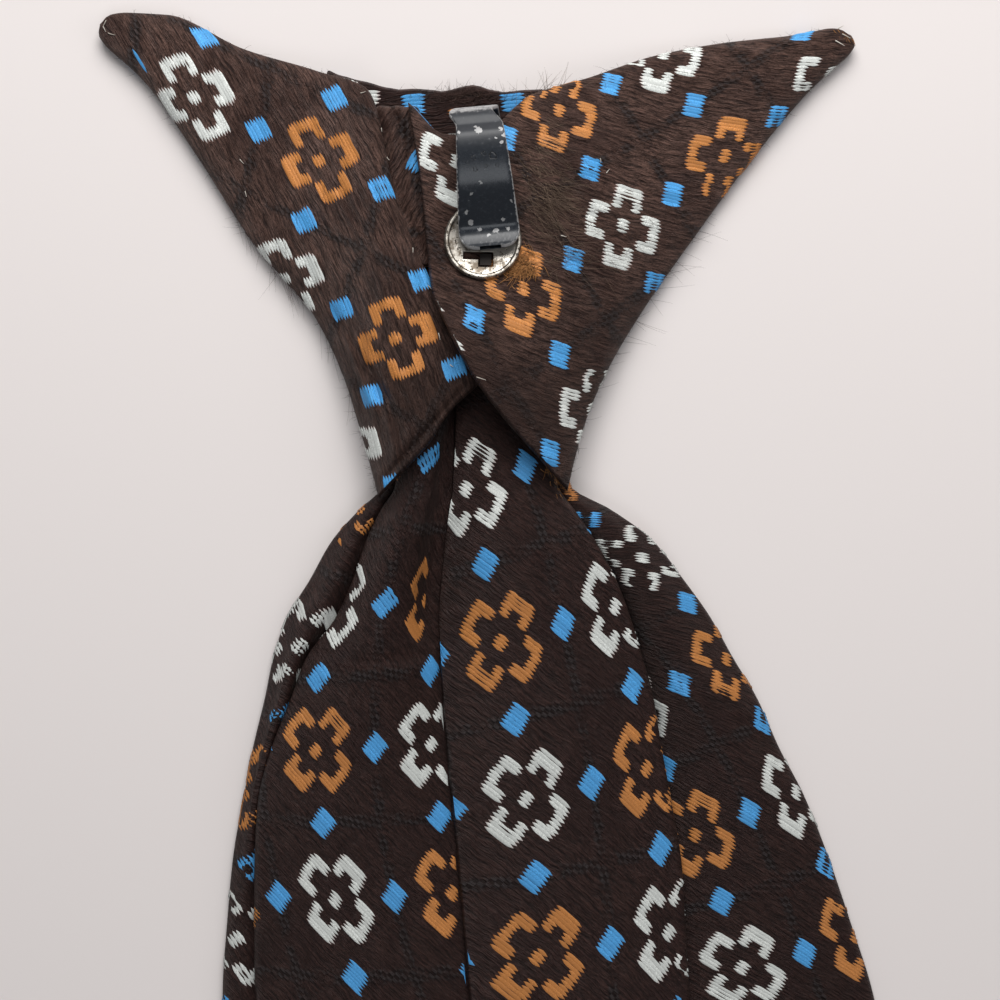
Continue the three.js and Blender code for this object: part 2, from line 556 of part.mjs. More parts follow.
// Pressed metal button: a dished plate with a raised rim, a slot and a notch beside the slot
function makeDisc() {
  const radius = 0.5 * DISC_DIAMETER;
  const rim = radius - DISC_RIM_WIDTH;
  const top = DISC_THICKNESS + DISC_RIM_HEIGHT;
  const profile = [
    [0, 0], [radius - 0.3, 0], [radius, 0.35 * top], [radius, 0.75 * top], [radius - 0.25, top],
    [rim + 0.2, top], [rim, DISC_THICKNESS], [0.5 * rim, 0.85 * DISC_THICKNESS],
    [0, 0.8 * DISC_THICKNESS],
  ].map(([x, y]) => new THREE.Vector2(x, y));
  const plate = new THREE.LatheGeometry(profile, DISC_SEGMENTS);
  plate.rotateX(Math.PI / 2);
  const slot = slotBlock(SLOT_WIDTH, SLOT_LENGTH, SLOT_TO_SIDE, -SLOT_FROM_CENTRE);
  const notchX = SLOT_TO_SIDE - 0.5 * (SLOT_WIDTH + NOTCH_WIDTH);
  const notchY = -SLOT_FROM_CENTRE + 0.5 * (SLOT_LENGTH + NOTCH_LENGTH) - NOTCH_LENGTH;
  const notch = slotBlock(NOTCH_WIDTH + 0.4, NOTCH_LENGTH, notchX, notchY);
  return toGeometry(toSolid(plate).subtract(slot).subtract(notch));
}

function makeProng() {
  const width = SLOT_WIDTH - 2 * PRONG_CLEARANCE;
  const length = SLOT_LENGTH - 2 * PRONG_CLEARANCE;
  return new THREE.BoxGeometry(width, length, PRONG_THICKNESS);
}

// Materials, from the photographed colours
const brownCloth = (color) => new THREE.MeshStandardMaterial({ color, roughness: 0.85, metalness: 0 });
const blackPaint = new THREE.MeshStandardMaterial({ color: 0x2a3038, roughness: 0.35, metalness: 0.4 });
const nickel = new THREE.MeshStandardMaterial({ color: 0xa9a59c, roughness: 0.35, metalness: 1 });
const darkSteel = new THREE.MeshStandardMaterial({ color: 0x1c1a19, roughness: 0.5, metalness: 0.7 });

function named(name, geometry, material) {
  const mesh = new THREE.Mesh(geometry, material);
  mesh.name = name;
  return mesh;
}

// Where the disc lies on the right wing, and the dent that it and the clip press into the pad
const DISC_X = 0.007 * HALF_SPAN;
const DISC_Y = 0.623 * KNOT_HEIGHT;
const DISC_DENT = 1.5;
const DISC_DENT_RADIUS = 0.72 * DISC_DIAMETER;
const DISC_RAISE = 1.15;
const DISC_TILT_X = THREE.MathUtils.degToRad(-3);
const DISC_TILT_Y = THREE.MathUtils.degToRad(4);
const RIDGE_HEIGHT = 1.4;
const RIDGE_RADIUS = 0.09 * HALF_SPAN;
const rightBumps = (x, y) => (
  -DISC_DENT * hump(x, y, DISC_X, DISC_Y, DISC_DENT_RADIUS)
  + RIDGE_HEIGHT * hump(x, y, 0.22 * HALF_SPAN, 0.8 * KNOT_HEIGHT, RIDGE_RADIUS)
);
const UNDER_DISC = 1.11;
const DISC_SEAT = WING_SEAT * UNDER_DISC + WING_PAD - DISC_DENT + DISC_RAISE;
const STRIP_BOTTOM = DISC_SEAT + DISC_THICKNESS + DISC_RIM_HEIGHT + SEAT_GAP + 0.5 * CLIP_STOCK;
const UNDER_WING_EDGE = 1.05;
const LEG_HEIGHT = WING_SEAT * UNDER_WING_EDGE - SEAT_GAP - 0.5 * CLIP_STOCK;

const tie = new THREE.Group();
tie.add(named('blade', makeBlade(), brownCloth(0x3f2c27)));
tie.add(named('knot_face', makeFace(), brownCloth(0x3a2723)));
tie.add(named('knot_tuck', makeTuck(), brownCloth(0x3b2824)));
tie.add(named('wing_left', makeWing(LEFT_WING_ROWS, LEFT_ROOT_ROWS, () => 0), brownCloth(0x412e29)));
tie.add(named('wing_right', makeWing(RIGHT_WING_ROWS, RIGHT_ROOT_ROWS, rightBumps), brownCloth(0x44302b)));

const clip = new THREE.Group();
clip.position.set(DISC_X, DISC_Y, 0);
const disc = named('clip_disc', makeDisc(), nickel);
const prong = named('clip_prong', makeProng(), darkSteel);
prong.position.set(SLOT_TO_SIDE, -SLOT_FROM_CENTRE, 0.5 * PRONG_THICKNESS);
const button = new THREE.Group();
button.position.z = DISC_SEAT;
button.rotation.set(DISC_TILT_X, DISC_TILT_Y, 0);
button.add(disc, prong);
const arm = named('clip_arm', makeStrip(STRIP_BOTTOM - LEG_HEIGHT), blackPaint);
arm.position.set(CLIP_END_X, CLIP_END_Y, STRIP_BOTTOM);
arm.rotation.z = CLIP_LEAN;
clip.add(button, arm);
tie.add(clip);

// The part's origin is the middle of the foot of its box
const box = new THREE.Box3().setFromObject(tie, true);
const part = new THREE.Group();
tie.position.set(-0.5 * (box.min.x + box.max.x), -0.5 * (box.min.y + box.max.y), -box.min.z);
part.add(tie);

export default part;
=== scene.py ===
"""Clip-on necktie lying face down, seen from above the back of its knot.

Lengths are millimetres from the knot's waist, with X across the knot, Y up the tie and Z up,
until put_mesh takes them to metres in the part's own frame.
"""

import math

import bmesh
import bpy
import numpy as np
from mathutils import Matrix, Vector


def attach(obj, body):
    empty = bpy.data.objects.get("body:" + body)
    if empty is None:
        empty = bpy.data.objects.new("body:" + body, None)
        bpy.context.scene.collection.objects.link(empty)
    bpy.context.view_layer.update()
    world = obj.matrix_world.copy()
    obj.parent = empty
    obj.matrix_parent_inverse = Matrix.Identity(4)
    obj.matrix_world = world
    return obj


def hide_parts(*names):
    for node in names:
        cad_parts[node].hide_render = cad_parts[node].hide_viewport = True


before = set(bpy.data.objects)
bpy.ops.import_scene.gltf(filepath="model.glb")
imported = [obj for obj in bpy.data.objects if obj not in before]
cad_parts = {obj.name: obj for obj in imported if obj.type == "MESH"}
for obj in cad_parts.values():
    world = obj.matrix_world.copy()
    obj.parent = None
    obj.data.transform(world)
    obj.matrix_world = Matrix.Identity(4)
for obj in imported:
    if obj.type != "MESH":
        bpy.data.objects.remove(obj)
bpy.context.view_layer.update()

# Where the knot's waist lies in the part's frame
METRES = 0.001
WAIST = np.array([-20.605, 162.571, 0.0])

# The eye straight above the knot, and the picture that it sees
EYE = np.array([3.2, -2.4, 420.0])
PICTURE = 1000
PIXELS_PER_MM = 6.25
VIEW_DEPTH = 412.0
VIEW_HALF = 0.5 * PICTURE / PIXELS_PER_MM

# Sizes of the whole tie
HALF_SPAN = 61.0
KNOT_HEIGHT = 62.0
BLADE_LENGTH = 405.0
HALF_BLADE = 58.0
POINT_DEPTH = 60.0
POINT_BLUNTNESS = 5.0
BLADE_LEAN = math.radians(7.5)
LEAN_BEGINS = 85.0
LEAN_ENDS = 200.0
NECK_OFFSET = -0.6
CLOTH = 1.0
PLY_GAP = 0.35
SEAT_GAP = 0.3
BLADE_LOFT = 8.0
FACE_WALL = 2.2
TUCK_WALL = 1.2
WING_PAD = 3.6
STEP = CLOTH + PLY_GAP
NECK_FLOOR = FACE_WALL + SEAT_GAP
NECK_TOP = NECK_FLOOR + CLOTH + 3 * STEP
WING_SEAT = NECK_TOP + SEAT_GAP
TUCK_TOP = WING_SEAT + TUCK_WALL
HEM_UNDER_SEAM = 0.13

# The woven repeat: one white and one orange flower and four blue squares
ROW = 0.577
REPEAT_ROWS = 56
REPEAT = REPEAT_ROWS * ROW

# Folds of the blade: "at" is a share of the blade's length below the waist, places across are
# shares of half its width, a folded share of 1 is a pressed pleat, and lift is a share of the
# neck's floor
FOLD_COLUMNS = [
    "at", "outer_left", "left_fold", "seam", "right_fold", "outer_right",
    "left_tuck", "right_tuck", "left_folded", "right_folded", "lift",
]
FOLD_ROWS = [
    [-0.099, -0.212, -0.178, -0.052, 0.185, 0.23, 0.06, 0.08, 1, 1, 1],
    [-0.03, -0.222, -0.186, -0.052, 0.19, 0.236, 0.06, 0.08, 1, 1, 1],
    [0, -0.253, -0.216, -0.06, 0.215, 0.252, 0.07, 0.09, 1, 1, 1],
    [0.01, -0.329, -0.266, -0.078, 0.255, 0.36, 0.07, 0.1, 1, 1, 0.98],
    [0.022, -0.414, -0.317, -0.1, 0.3, 0.462, 0.09, 0.12, 1, 1, 0.76],
    [0.038, -0.493, -0.371, -0.126, 0.345, 0.536, 0.11, 0.13, 1, 1, 0.36],
    [0.053, -0.571, -0.433, -0.147, 0.371, 0.597, 0.13, 0.14, 1, 1, 0.1],
    [0.069, -0.624, -0.529, -0.157, 0.39, 0.645, 0.14, 0.14, 1, 1, 0],
    [0.085, -0.662, -0.586, -0.164, 0.405, 0.697, 0.14, 0.14, 1, 1, 0],
    [0.105, -0.714, -0.659, -0.171, 0.41, 0.741, 0.14, 0.14, 1, 1, 0],
    [0.124, -0.757, -0.712, -0.176, 0.417, 0.793, 0.14, 0.14, 1, 1, 0],
    [0.148, -0.809, -0.745, -0.181, 0.424, 0.838, 0.14, 0.14, 1, 1, 0],
    [0.176, -0.853, -0.772, -0.19, 0.412, 0.879, 0.14, 0.14, 1, 1, 0],
    [0.203, -0.89, -0.793, -0.198, 0.397, 0.914, 0.14, 0.14, 1, 1, 0],
    [0.26, -0.935, -0.8, -0.2, 0.37, 0.945, 0.11, 0.12, 1, 1, 0],
    [0.32, -0.955, -0.78, -0.2, 0.33, 0.96, 0.05, 0.07, 1, 1, 0],
    [0.365, -0.962, -0.75, -0.2, 0.31, 0.966, -0.01, 0, 1, 1, 0],
    [0.41, -0.968, -0.72, -0.2, 0.295, 0.971, -0.06, -0.05, 0.8, 0.8, 0],
    [0.47, -0.974, -0.69, -0.2, 0.285, 0.977, -0.09, -0.08, 0.35, 0.35, 0],
    [0.53, -0.98, -0.66, -0.2, 0.28, 0.982, -0.12, -0.1, 0, 0, 0],
    [0.852, -1, -0.52, -0.2, 0.28, 1, -0.12, -0.1, 0, 0, 0],
]
# How far each crest and valley stands above its pressed height, as shares of the blade's loft
PUFF_COLUMNS = [
    "at", "roll_left_puff", "left_fold_puff", "left_puff", "valley_puff", "seam_puff",
    "centre_puff", "right_fold_puff", "roll_right_puff",
]
PUFF_ROWS = [
    [-0.099, 0, 0, 0, 0, 0, 0, 0, 0],
    [-0.03, 0, 0, 0, 0, 0, 0, 0, 0],
    [0, 0.05, 0, 0.12, 0.02, 0.05, 0.13, 0.06, 0.12],
    [0.01, 0.14, 0.02, 0.26, 0.02, 0.06, 0.26, 0.14, 0.28],
    [0.022, 0.26, 0.06, 0.4, 0.03, 0.07, 0.38, 0.22, 0.42],
    [0.038, 0.36, 0.09, 0.46, 0.03, 0.09, 0.46, 0.29, 0.54],
    [0.053, 0.41, 0.1, 0.46, 0.05, 0.12, 0.49, 0.32, 0.58],
    [0.069, 0.4, 0.1, 0.42, 0.1, 0.18, 0.47, 0.3, 0.57],
    [0.085, 0.36, 0.1, 0.37, 0.16, 0.23, 0.44, 0.27, 0.52],
    [0.105, 0.28, 0.08, 0.28, 0.22, 0.26, 0.38, 0.22, 0.42],
    [0.124, 0.2, 0.06, 0.2, 0.26, 0.29, 0.32, 0.17, 0.33],
    [0.148, 0.13, 0.05, 0.14, 0.25, 0.28, 0.27, 0.13, 0.25],
    [0.176, 0.08, 0.04, 0.1, 0.24, 0.26, 0.22, 0.09, 0.18],
    [0.203, 0.06, 0.02, 0.07, 0.23, 0.25, 0.19, 0.07, 0.13],
    [0.26, 0.03, 0, 0.03, 0.2, 0.22, 0.14, 0.04, 0.08],
    [0.32, 0.02, 0, 0.02, 0.15, 0.17, 0.1, 0.03, 0.05],
    [0.365, 0.01, 0, 0.01, 0.1, 0.12, 0.06, 0.02, 0.03],
    [0.41, 0, 0, 0, 0.05, 0.07, 0.03, 0, 0.02],
    [0.47, 0, 0, 0, 0.01, 0.03, 0.01, 0, 0.01],
    [0.53, 0, 0, 0, 0, 0.02, 0, 0, 0],
    [0.852, 0, 0, 0, 0, 0.02, 0, 0, 0],
]
# Wings from tip to root: shares of half the span and of the knot's height, then the underside's
# heights from the upper edge to the lower one as shares of the seat, and how full the padding is
WING_COLUMNS = [
    "upper_x", "upper_y", "lower_x", "lower_y", "high0", "high1", "high2", "high3", "high4", "pad",
]
LEFT_WING_ROWS = [
    [-0.985, 1.238, -1.022, 1.17, 0.15, 0.15, 0.15, 0.13, 0.12, 0.35],
    [-0.828, 1.23, -0.897, 1.06, 0.13, 0.12, 0.1, 0.09, 0.08, 0.8],
    [-0.633, 1.142, -0.745, 0.848, 0.17, 0.14, 0.1, 0.08, 0.08, 1],
    [-0.434, 1.076, -0.607, 0.637, 0.55, 0.38, 0.2, 0.12, 0.1, 1],
    [-0.29, 1.011, -0.436, 0.434, 1.16, 0.92, 0.62, 0.38, 0.2, 1],
    [-0.225, 0.765, -0.36, 0.277, 1.22, 1.12, 0.88, 0.62, 0.4, 1],
    [-0.169, 0.61, -0.318, 0.148, 1.2, 1.16, 1.02, 0.8, 0.55, 1],
    [-0.066, 0.415, -0.285, 0.039, 1.06, 1.08, 1.06, 0.96, 0.84, 1],
    [0.013, 0.282, -0.267, -0.026, 1.08, 1.1, 1.1, 1.08, 1.04, 0.9],
]
RIGHT_WING_ROWS = [
    [0.949, 1.2, 1.007, 1.148, 0.15, 0.15, 0.15, 0.13, 0.12, 0.35],
    [0.83, 1.177, 0.884, 1.04, 0.12, 0.11, 0.1, 0.09, 0.08, 0.8],
    [0.646, 1.156, 0.722, 0.852, 0.17, 0.14, 0.1, 0.08, 0.08, 1],
    [0.461, 1.118, 0.564, 0.642, 0.36, 0.3, 0.2, 0.12, 0.1, 1],
    [0.29, 1.055, 0.434, 0.46, 0.74, 0.72, 0.66, 0.46, 0.2, 1],
    [0.131, 1, 0.34, 0.305, 1.08, 1.05, 1.02, 0.86, 0.45, 1],
    [0, 0.9, 0.284, 0.182, 1.1, 1.1, 1.12, 1.04, 0.66, 1],
    [-0.09, 0.9, 0.251, 0.077, 1.16, 1.2, 1.36, 1.26, 0.9, 1],
    [-0.182, 0.977, 0.23, -0.008, 1.2, 1.22, 1.6, 1.46, 1.06, 0.9],
]
# Free edges of the wings at the V over the blade, from the upper edge to the lower one
LEFT_ROOT_ROWS = [
    [0.013, 0.282], [-0.084, 0.19], [-0.131, 0.118], [-0.198, 0.045], [-0.267, -0.026],
]
RIGHT_ROOT_ROWS = [
    [-0.182, 0.977], [-0.147, 0.76], [-0.131, 0.6], [-0.116, 0.49], [-0.075, 0.395],
    [-0.011, 0.277], [0.062, 0.18], [0.156, 0.076], [0.23, -0.008],
]
ROOT_REACH = 0.45
# Front of the knot from the waist up, and the narrow tuck between the wings
FACE_COLUMNS = ["at", "left", "right", "top_curl", "side_curl"]
FACE_ROWS = [
    [-0.045, -0.24, 0.215, 0, 0.2],
    [0.1, -0.262, 0.24, 0, 0.35],
    [0.35, -0.32, 0.3, 0, 0.5],
    [0.65, -0.37, 0.35, 0, 0.6],
    [0.85, -0.4, 0.375, 0.25, 0.6],
    [0.96, -0.405, 0.385, 0.75, 0.4],
    [1.02, -0.4, 0.38, 1.1, 0.2],
]
FACE_TOP_SWEEP = 0.055
TUCK_COLUMNS = ["at", "left", "right"]
TUCK_ROWS = [
    [0.57, -0.192, -0.078], [0.64, -0.212, -0.082], [0.8, -0.25, -0.1], [0.97, -0.27, -0.165],
]

# The button and the spring strip
DISC_X = 0.007 * HALF_SPAN
DISC_Y = 0.623 * KNOT_HEIGHT
DISC_DIAMETER = 12.3
DISC_THICKNESS = 0.8
DISC_RIM_HEIGHT = 0.5
DISC_DENT = 1.5
DISC_DENT_RADIUS = 0.72 * DISC_DIAMETER
DISC_RAISE = 1.15
DISC_SEAT = WING_SEAT * 1.11 + WING_PAD - DISC_DENT + DISC_RAISE
RIDGE_HEIGHT = 1.4
RIDGE_RADIUS = 0.09 * HALF_SPAN
CLIP_STOCK = 0.7
CLIP_LENGTH = 22.2
CLIP_RISE = 5.6
CLIP_LEAN = math.radians(5.2)
CLIP_LEG = 16.4
CLIP_END_X = 1.3
CLIP_END_Y = -1.3
STRIP_BOTTOM = DISC_SEAT + DISC_THICKNESS + DISC_RIM_HEIGHT + SEAT_GAP + 0.5 * CLIP_STOCK
LEG_HEIGHT = WING_SEAT * 1.05 - SEAT_GAP - 0.5 * CLIP_STOCK

# Where the woven figures are seen on each stretch of cloth: kind, then its middle in the picture,
# then its place in quarter repeats where the first reading is too far off to tell
FIGURES_SEEN = {
    "centre": [
        ("orange", 500, 640), ("white", 526, 800), ("orange", 543, 957), ("white", 617, 604),
        ("orange", 645, 770), ("white", 668, 930), ("white", 472, 488), ("blue", 481, 565),
        ("blue", 513, 717), ("blue", 535, 881), ("blue", 567, 624), ("blue", 593, 785),
        ("blue", 614, 944), ("blue", 522, 470),
    ],
    "left_panel": [
        ("orange", 321, 748), ("white", 339, 897), ("white", 425, 738), ("orange", 450, 888),
        ("blue", 373, 750), ("blue", 325, 827), ("blue", 277, 900), ("blue", 400, 903),
        ("blue", 352, 970), ("blue", 385, 600), ("blue", 427, 662), ("blue", 430, 457, -5, 7),
        ("white", 322, 606, -4, 4), ("orange", 428, 604, -2, 6), ("blue", 312, 674, -3, 3),
    ],
    "right_roll": [
        ("white", 645, 555), ("orange", 720, 660), ("white", 793, 795), ("orange", 850, 930),
        ("orange", 700, 830), ("white", 745, 965), ("blue", 585, 519, -5, 5), ("blue", 687, 604),
        ("blue", 766, 718), ("blue", 750, 810), ("blue", 718, 900), ("blue", 810, 961),
        ("blue", 678, 681), ("blue", 667, 769),
    ],
    "left_roll": [
        ("white", 303, 645), ("blue", 285, 720), ("orange", 256, 790), ("blue", 247, 868),
        ("white", 238, 940),
    ],
    "left_wing": [
        ("white", 193, 98), ("orange", 318, 157), ("white", 288, 278), ("orange", 401, 340),
        ("blue", 208, 37), ("blue", 335, 101), ("blue", 255, 126), ("blue", 379, 187),
        ("blue", 295, 222), ("blue", 344, 311), ("blue", 453, 366), ("blue", 371, 397),
        ("white", 362, 446), ("blue", 378, 482),
    ],
    "right_wing": [
        ("orange", 555, 122), ("white", 630, 222), ("orange", 728, 155), ("orange", 522, 293),
        ("white", 663, 60), ("white", 459, 150), ("white", 582, 406), ("white", 836, 92),
        ("blue", 600, 84), ("blue", 697, 93), ("blue", 591, 165), ("blue", 685, 190),
        ("blue", 569, 260), ("blue", 472, 317), ("blue", 560, 361), ("blue", 648, 290),
        ("blue", 775, 120), ("blue", 808, 33), ("blue", 514, 150), ("blue", 560, 455),
    ],
}
# A first reading of each weave: one white flower's place, then half a repeat along the floats
# and half a repeat across them, in pixels
FIRST_READING = {
    "centre": [(526, 800), (79.5, 63), (47.5, -89)],
    "left_panel": [(339, 897), (74, 77), (48, -69)],
    "right_roll": [(793, 795), (80, 50), (20, -85)],
    "left_roll": [(303, 645), (60, 72.5), (76, -72.5)],
    "left_wing": [(193, 98), (42, 92.5), (83, -33.5)],
    "right_wing": [(630, 222), (87.5, 15.5), (-12.5, 84.5)],
}


def table_curve(places, values, at):
    """Monotone cubic through a table's rows: tangents are the harmonic mean of the slopes on both
    sides, or level at a turn, so that a fold never overshoots its rows."""
    places = np.asarray(places, float)
    values = np.asarray(values, float)
    slopes = np.diff(values) / np.diff(places)
    before, after = slopes[:-1], slopes[1:]
    turning = before * after <= 0
    inner = 2 * before * after / np.where(turning, 1, before + after)
    tangents = np.concatenate([slopes[:1], np.where(turning, 0, inner), slopes[-1:]])
    at = np.clip(at, places[0], places[-1])
    i = np.clip(np.searchsorted(places, at, side="left") - 1, 0, len(places) - 2)
    span = places[i + 1] - places[i]
    t = (at - places[i]) / span
    rise = values[i + 1] - values[i]
    bend = (span * tangents[i] - rise) * (1 - t) + (rise - span * tangents[i + 1]) * t
    return values[i] + rise * t + t * (1 - t) * bend


def table_curves(columns, rows, places, at):
    """Every named column of a table as its own curve."""
    rows = np.asarray(rows, float)
    return {name: table_curve(places, rows[:, k], at) for k, name in enumerate(columns)}


def even(rows):
    """Even places from 0 to 1, one for each row."""
    return np.linspace(0, 1, len(rows))


def mix(a, b, t):
    """a where t is 0, b where t is 1, and in proportion between them."""
    return a + (b - a) * t


def smooth(a, b, x):
    """Smooth step: 0 up to a, 1 from b on, and 3 t squared less 2 t cubed between."""
    t = np.clip((x - a) / (b - a), 0, 1)
    return t * t * (3 - 2 * t)


def hump(x, y, cx, cy, radius):
    """Bell-shaped hill of height 1: e to the minus square of the distance over the radius."""
    return np.exp(-((x - cx) ** 2 + (y - cy) ** 2) / radius ** 2)


def unit(v):
    """Vectors brought to a length of 1."""
    return v / np.maximum(np.linalg.norm(v, axis=-1, keepdims=True), 1e-9)


def bunched(count):
    """Places from 0 to 1 that crowd towards both ends, as half of one less the cosine."""
    return 0.5 - 0.5 * np.cos(np.linspace(0, math.pi, count))


def on_axes(flat, angle):
    """Flat places measured on axes that are turned by an angle."""
    c, s = math.cos(angle), math.sin(angle)
    x, y = flat[..., 0], flat[..., 1]
    return np.stack([x * c + y * s, -x * s + y * c], axis=-1)


def nearest(places, spot):
    """Number of the place that is nearest to a spot."""
    return int(np.argmin(((places - spot) ** 2).sum(-1)))


def seen(points):
    """Picture places of points: their distance off the eye's axis, enlarged by their nearness."""
    scale = PIXELS_PER_MM * VIEW_DEPTH / (EYE[2] - points[..., 2])
    right = 0.5 * PICTURE + (points[..., 0] - EYE[0]) * scale
    down = 0.5 * PICTURE - (points[..., 1] - EYE[1]) * scale
    return np.stack([right, down], axis=-1)


def ripple(x, y, seed, size, octaves=3):
    """Soft unevenness from -1 to 1: a few crossed sine waves whose directions and phases are drawn
    from the seed, each octave twice as fine and half as high."""
    rng = np.random.default_rng(seed)
    total = np.zeros_like(x)
    height = 1.0
    for octave in range(octaves):
        for _ in range(3):
            angle, phase = rng.uniform(0, 2 * math.pi, 2)
            wave = 2 * math.pi * 2 ** octave / size * rng.uniform(0.8, 1.25)
            run = x * np.cos(angle) + y * np.sin(angle)
            total = total + height * np.sin(wave * run + phase) / 3
        height *= 0.5
    return total / 1.75


# Height of the cloth's soft unevenness, and how long its waves are on the blade and on a wing
UNEVEN = 0.16
BLADE_WAVES = 26.0
WING_WAVES = 16.0
# Where a crease fades in and out along its length, in shares of that
CREASE_BEGINS = (-0.12, 0.15)
CREASE_ENDS = (0.85, 1.12)


def creases(places, table):
    """Relief of pressed creases: each is a straight furrow or ridge with a bell-shaped section
    that fades at both of its ends. Places are picture places."""
    total = np.zeros(places.shape[:-1])
    for x0, y0, x1, y1, height, width in table:
        along = np.array([x1 - x0, y1 - y0], float)
        length = np.hypot(*along)
        along /= length
        rel = places - np.array([x0, y0])
        run = rel @ along / length
        off = rel @ np.array([-along[1], along[0]])
        fade = smooth(*CREASE_BEGINS, run) * (1 - smooth(*CREASE_ENDS, run))
        total += height * np.exp(-(off / width) ** 2) * fade
    return total


def put_in_scene(name, data):
    """A new object in the scene that holds the data."""
    thing = bpy.data.objects.new(name, data)
    bpy.context.scene.collection.objects.link(thing)
    return thing


def put_mesh(name, points, faces, uv=None, corners=None, layer_name="Weave"):
    """A mesh of quads, or of triangles, from whole arrays. corners gives each face corner's own
    row of uv where a seam needs it."""
    mesh = bpy.data.meshes.new(name)
    places = (points.reshape(-1, 3) + WAIST) * METRES
    mesh.vertices.add(len(places))
    mesh.vertices.foreach_set("co", places.astype(np.float32).ravel())
    mesh.loops.add(faces.size)
    mesh.loops.foreach_set("vertex_index", faces.astype(np.int32).ravel())
    mesh.polygons.add(len(faces))
    mesh.polygons.foreach_set("loop_start", np.arange(0, faces.size, faces.shape[1], dtype=np.int32))
    mesh.polygons.foreach_set("use_smooth", np.ones(len(faces), bool))
    if uv is not None:
        layer = mesh.uv_layers.new(name=layer_name)
        read = faces if corners is None else corners
        layer.data.foreach_set("uv", uv.reshape(-1, 2)[read.ravel()].astype(np.float32).ravel())
    mesh.update(calc_edges=True)
    mesh.validate()
    return put_in_scene(name, mesh)


def quads_of(index):
    """Quads between neighbouring rows and columns of vertex numbers."""
    corners = [index[:-1, :-1], index[:-1, 1:], index[1:, 1:], index[1:, :-1]]
    return np.stack(corners, axis=-1).reshape(-1, 4)


def with_rim(grid, other):
    """The grid with one more ring: half way to the other skin, and pushed out by half the wall,
    so that the cloth's edge is round."""
    rim = np.pad(0.5 * (grid + other), ((1, 1), (1, 1), (0, 0)), mode="edge")
    out = np.zeros_like(rim)
    out[0, 1:-1] += unit(grid[0] - grid[1])
    out[-1, 1:-1] += unit(grid[-1] - grid[-2])
    out[1:-1, 0] += unit(grid[:, 0] - grid[:, 1])
    out[1:-1, -1] += unit(grid[:, -1] - grid[:, -2])
    for i, j in ((0, 0), (0, -1), (-1, 0), (-1, -1)):
        a, b = (1 if i == 0 else -2), (1 if j == 0 else -2)
        out[i, j] = 0.7 * (out[i, b] + out[a, j])
    wall = np.pad(np.linalg.norm(grid - other, axis=-1), 1, mode="edge")[..., None]
    rim = rim + 0.5 * np.minimum(wall, CLOTH) * out
    rim[1:-1, 1:-1] = grid
    return rim


def inside_out(points, faces):
    """Whether the faces of a closed surface look inwards: the volume that they close in, summed
    from the triple products of their corners, is then below zero."""
    a, b, c, d = (points[faces[:, k]] for k in range(4))
    return (a * np.cross(b, c)).sum() + (a * np.cross(c, d)).sum() < 0


def make_wall(name, top, under, top_uv, under_uv):
    """A closed wall of cloth between two skins, with its round edge shared by both."""
    upper = with_rim(top, under)
    lower = with_rim(under, top)
    rows, columns = upper.shape[:2]
    index = np.arange(rows * columns).reshape(rows, columns)
    inner = rows * columns + np.arange((rows - 2) * (columns - 2)).reshape(rows - 2, columns - 2)
    under_index = index.copy()
    under_index[1:-1, 1:-1] = inner
    faces = np.concatenate([quads_of(index), quads_of(under_index)[:, ::-1]])
    points = np.concatenate([upper.reshape(-1, 3), lower[1:-1, 1:-1].reshape(-1, 3)])
    wide = np.pad(top_uv, ((1, 1), (1, 1), (0, 0)), mode="edge")
    wide_under = np.pad(under_uv, ((1, 1), (1, 1), (0, 0)), mode="edge")
    uv = np.concatenate([wide.reshape(-1, 2), wide_under.reshape(-1, 2)])
    corners = np.concatenate([quads_of(index), quads_of(index)[:, ::-1] + rows * columns])
    if inside_out(points, faces):
        faces = faces[:, ::-1]
        corners = corners[:, ::-1]
    return put_mesh(name, points, faces, uv, corners)


def grid_normals(grid):
    """Unit normals of a grid: its two central differences crossed."""
    return unit(np.cross(np.gradient(grid, axis=1), np.gradient(grid, axis=0)))


def facing(grid, up):
    """Normals of a grid, turned so that on the whole they face up for 1 and down for -1."""
    normals = grid_normals(grid)
    return normals * (up * np.sign(normals[..., 2].mean()))


# The blade

PATH_PARTS = 4
SEEN_STATIONS = 150
FAR_STATIONS = 90
SEEN_DOWN = 112.0
# Down the blade: where the readings of its folds become the flat cloth's, and where its pleats
# are open, so that each side is woven as one stretch from there
BLEND_BEGINS = 95.0
BLEND_ENDS = 182.0
PLEATS_OPEN = 150.0
# Node where the left panel's figures end: past it the valley beside the seam is left without figures
# so that it stays dark, as painted shade
SHADED_VALLEY_NODE = 36
OPEN_STRETCHES = [(0, 17), (18, 22), (23, 38)]
# Nodes of the folded path where each stretch of cloth has its own reading of the weave:
# first and last node, then the node that it is unrolled from
STRETCHES = {
    "centre": (0, 8, 3),
    "right_roll": (10, 17, 14),
    "front": (18, 22, 20),
    "left_roll": (23, 28, 25),
    "left_panel": (30, 38, 33),
}
# How hard a weave's curve is held straight, how far it is trusted past its last figure in
# repeats, its highest power on each stretch, the front's first flower, and how far down in
# millimetres the flat back is read
CHART_STIFFNESS = 0.15
CHART_MARGIN = 0.2
WEAVE_DEGREE = {"centre": 2, "right_roll": 3, "left_panel": 3}
FRONT_FLOWER = (4.0, -60.0)
BACK_READ_AT = 100.0
# Nodes between which the back's weave gives way to the front's, and the front's to the back's
FRONT_BEGINS = (16.8, 17.4)
FRONT_ENDS = (22.6, 23.2)


# The valley beside the seam: its plain width, and how much wider it stands open below the knot
VALLEY_GAP = 0.9
VALLEY_OPEN = 2.1
VALLEY_REACH = [-0.04, 0, 0.05, 0.075]


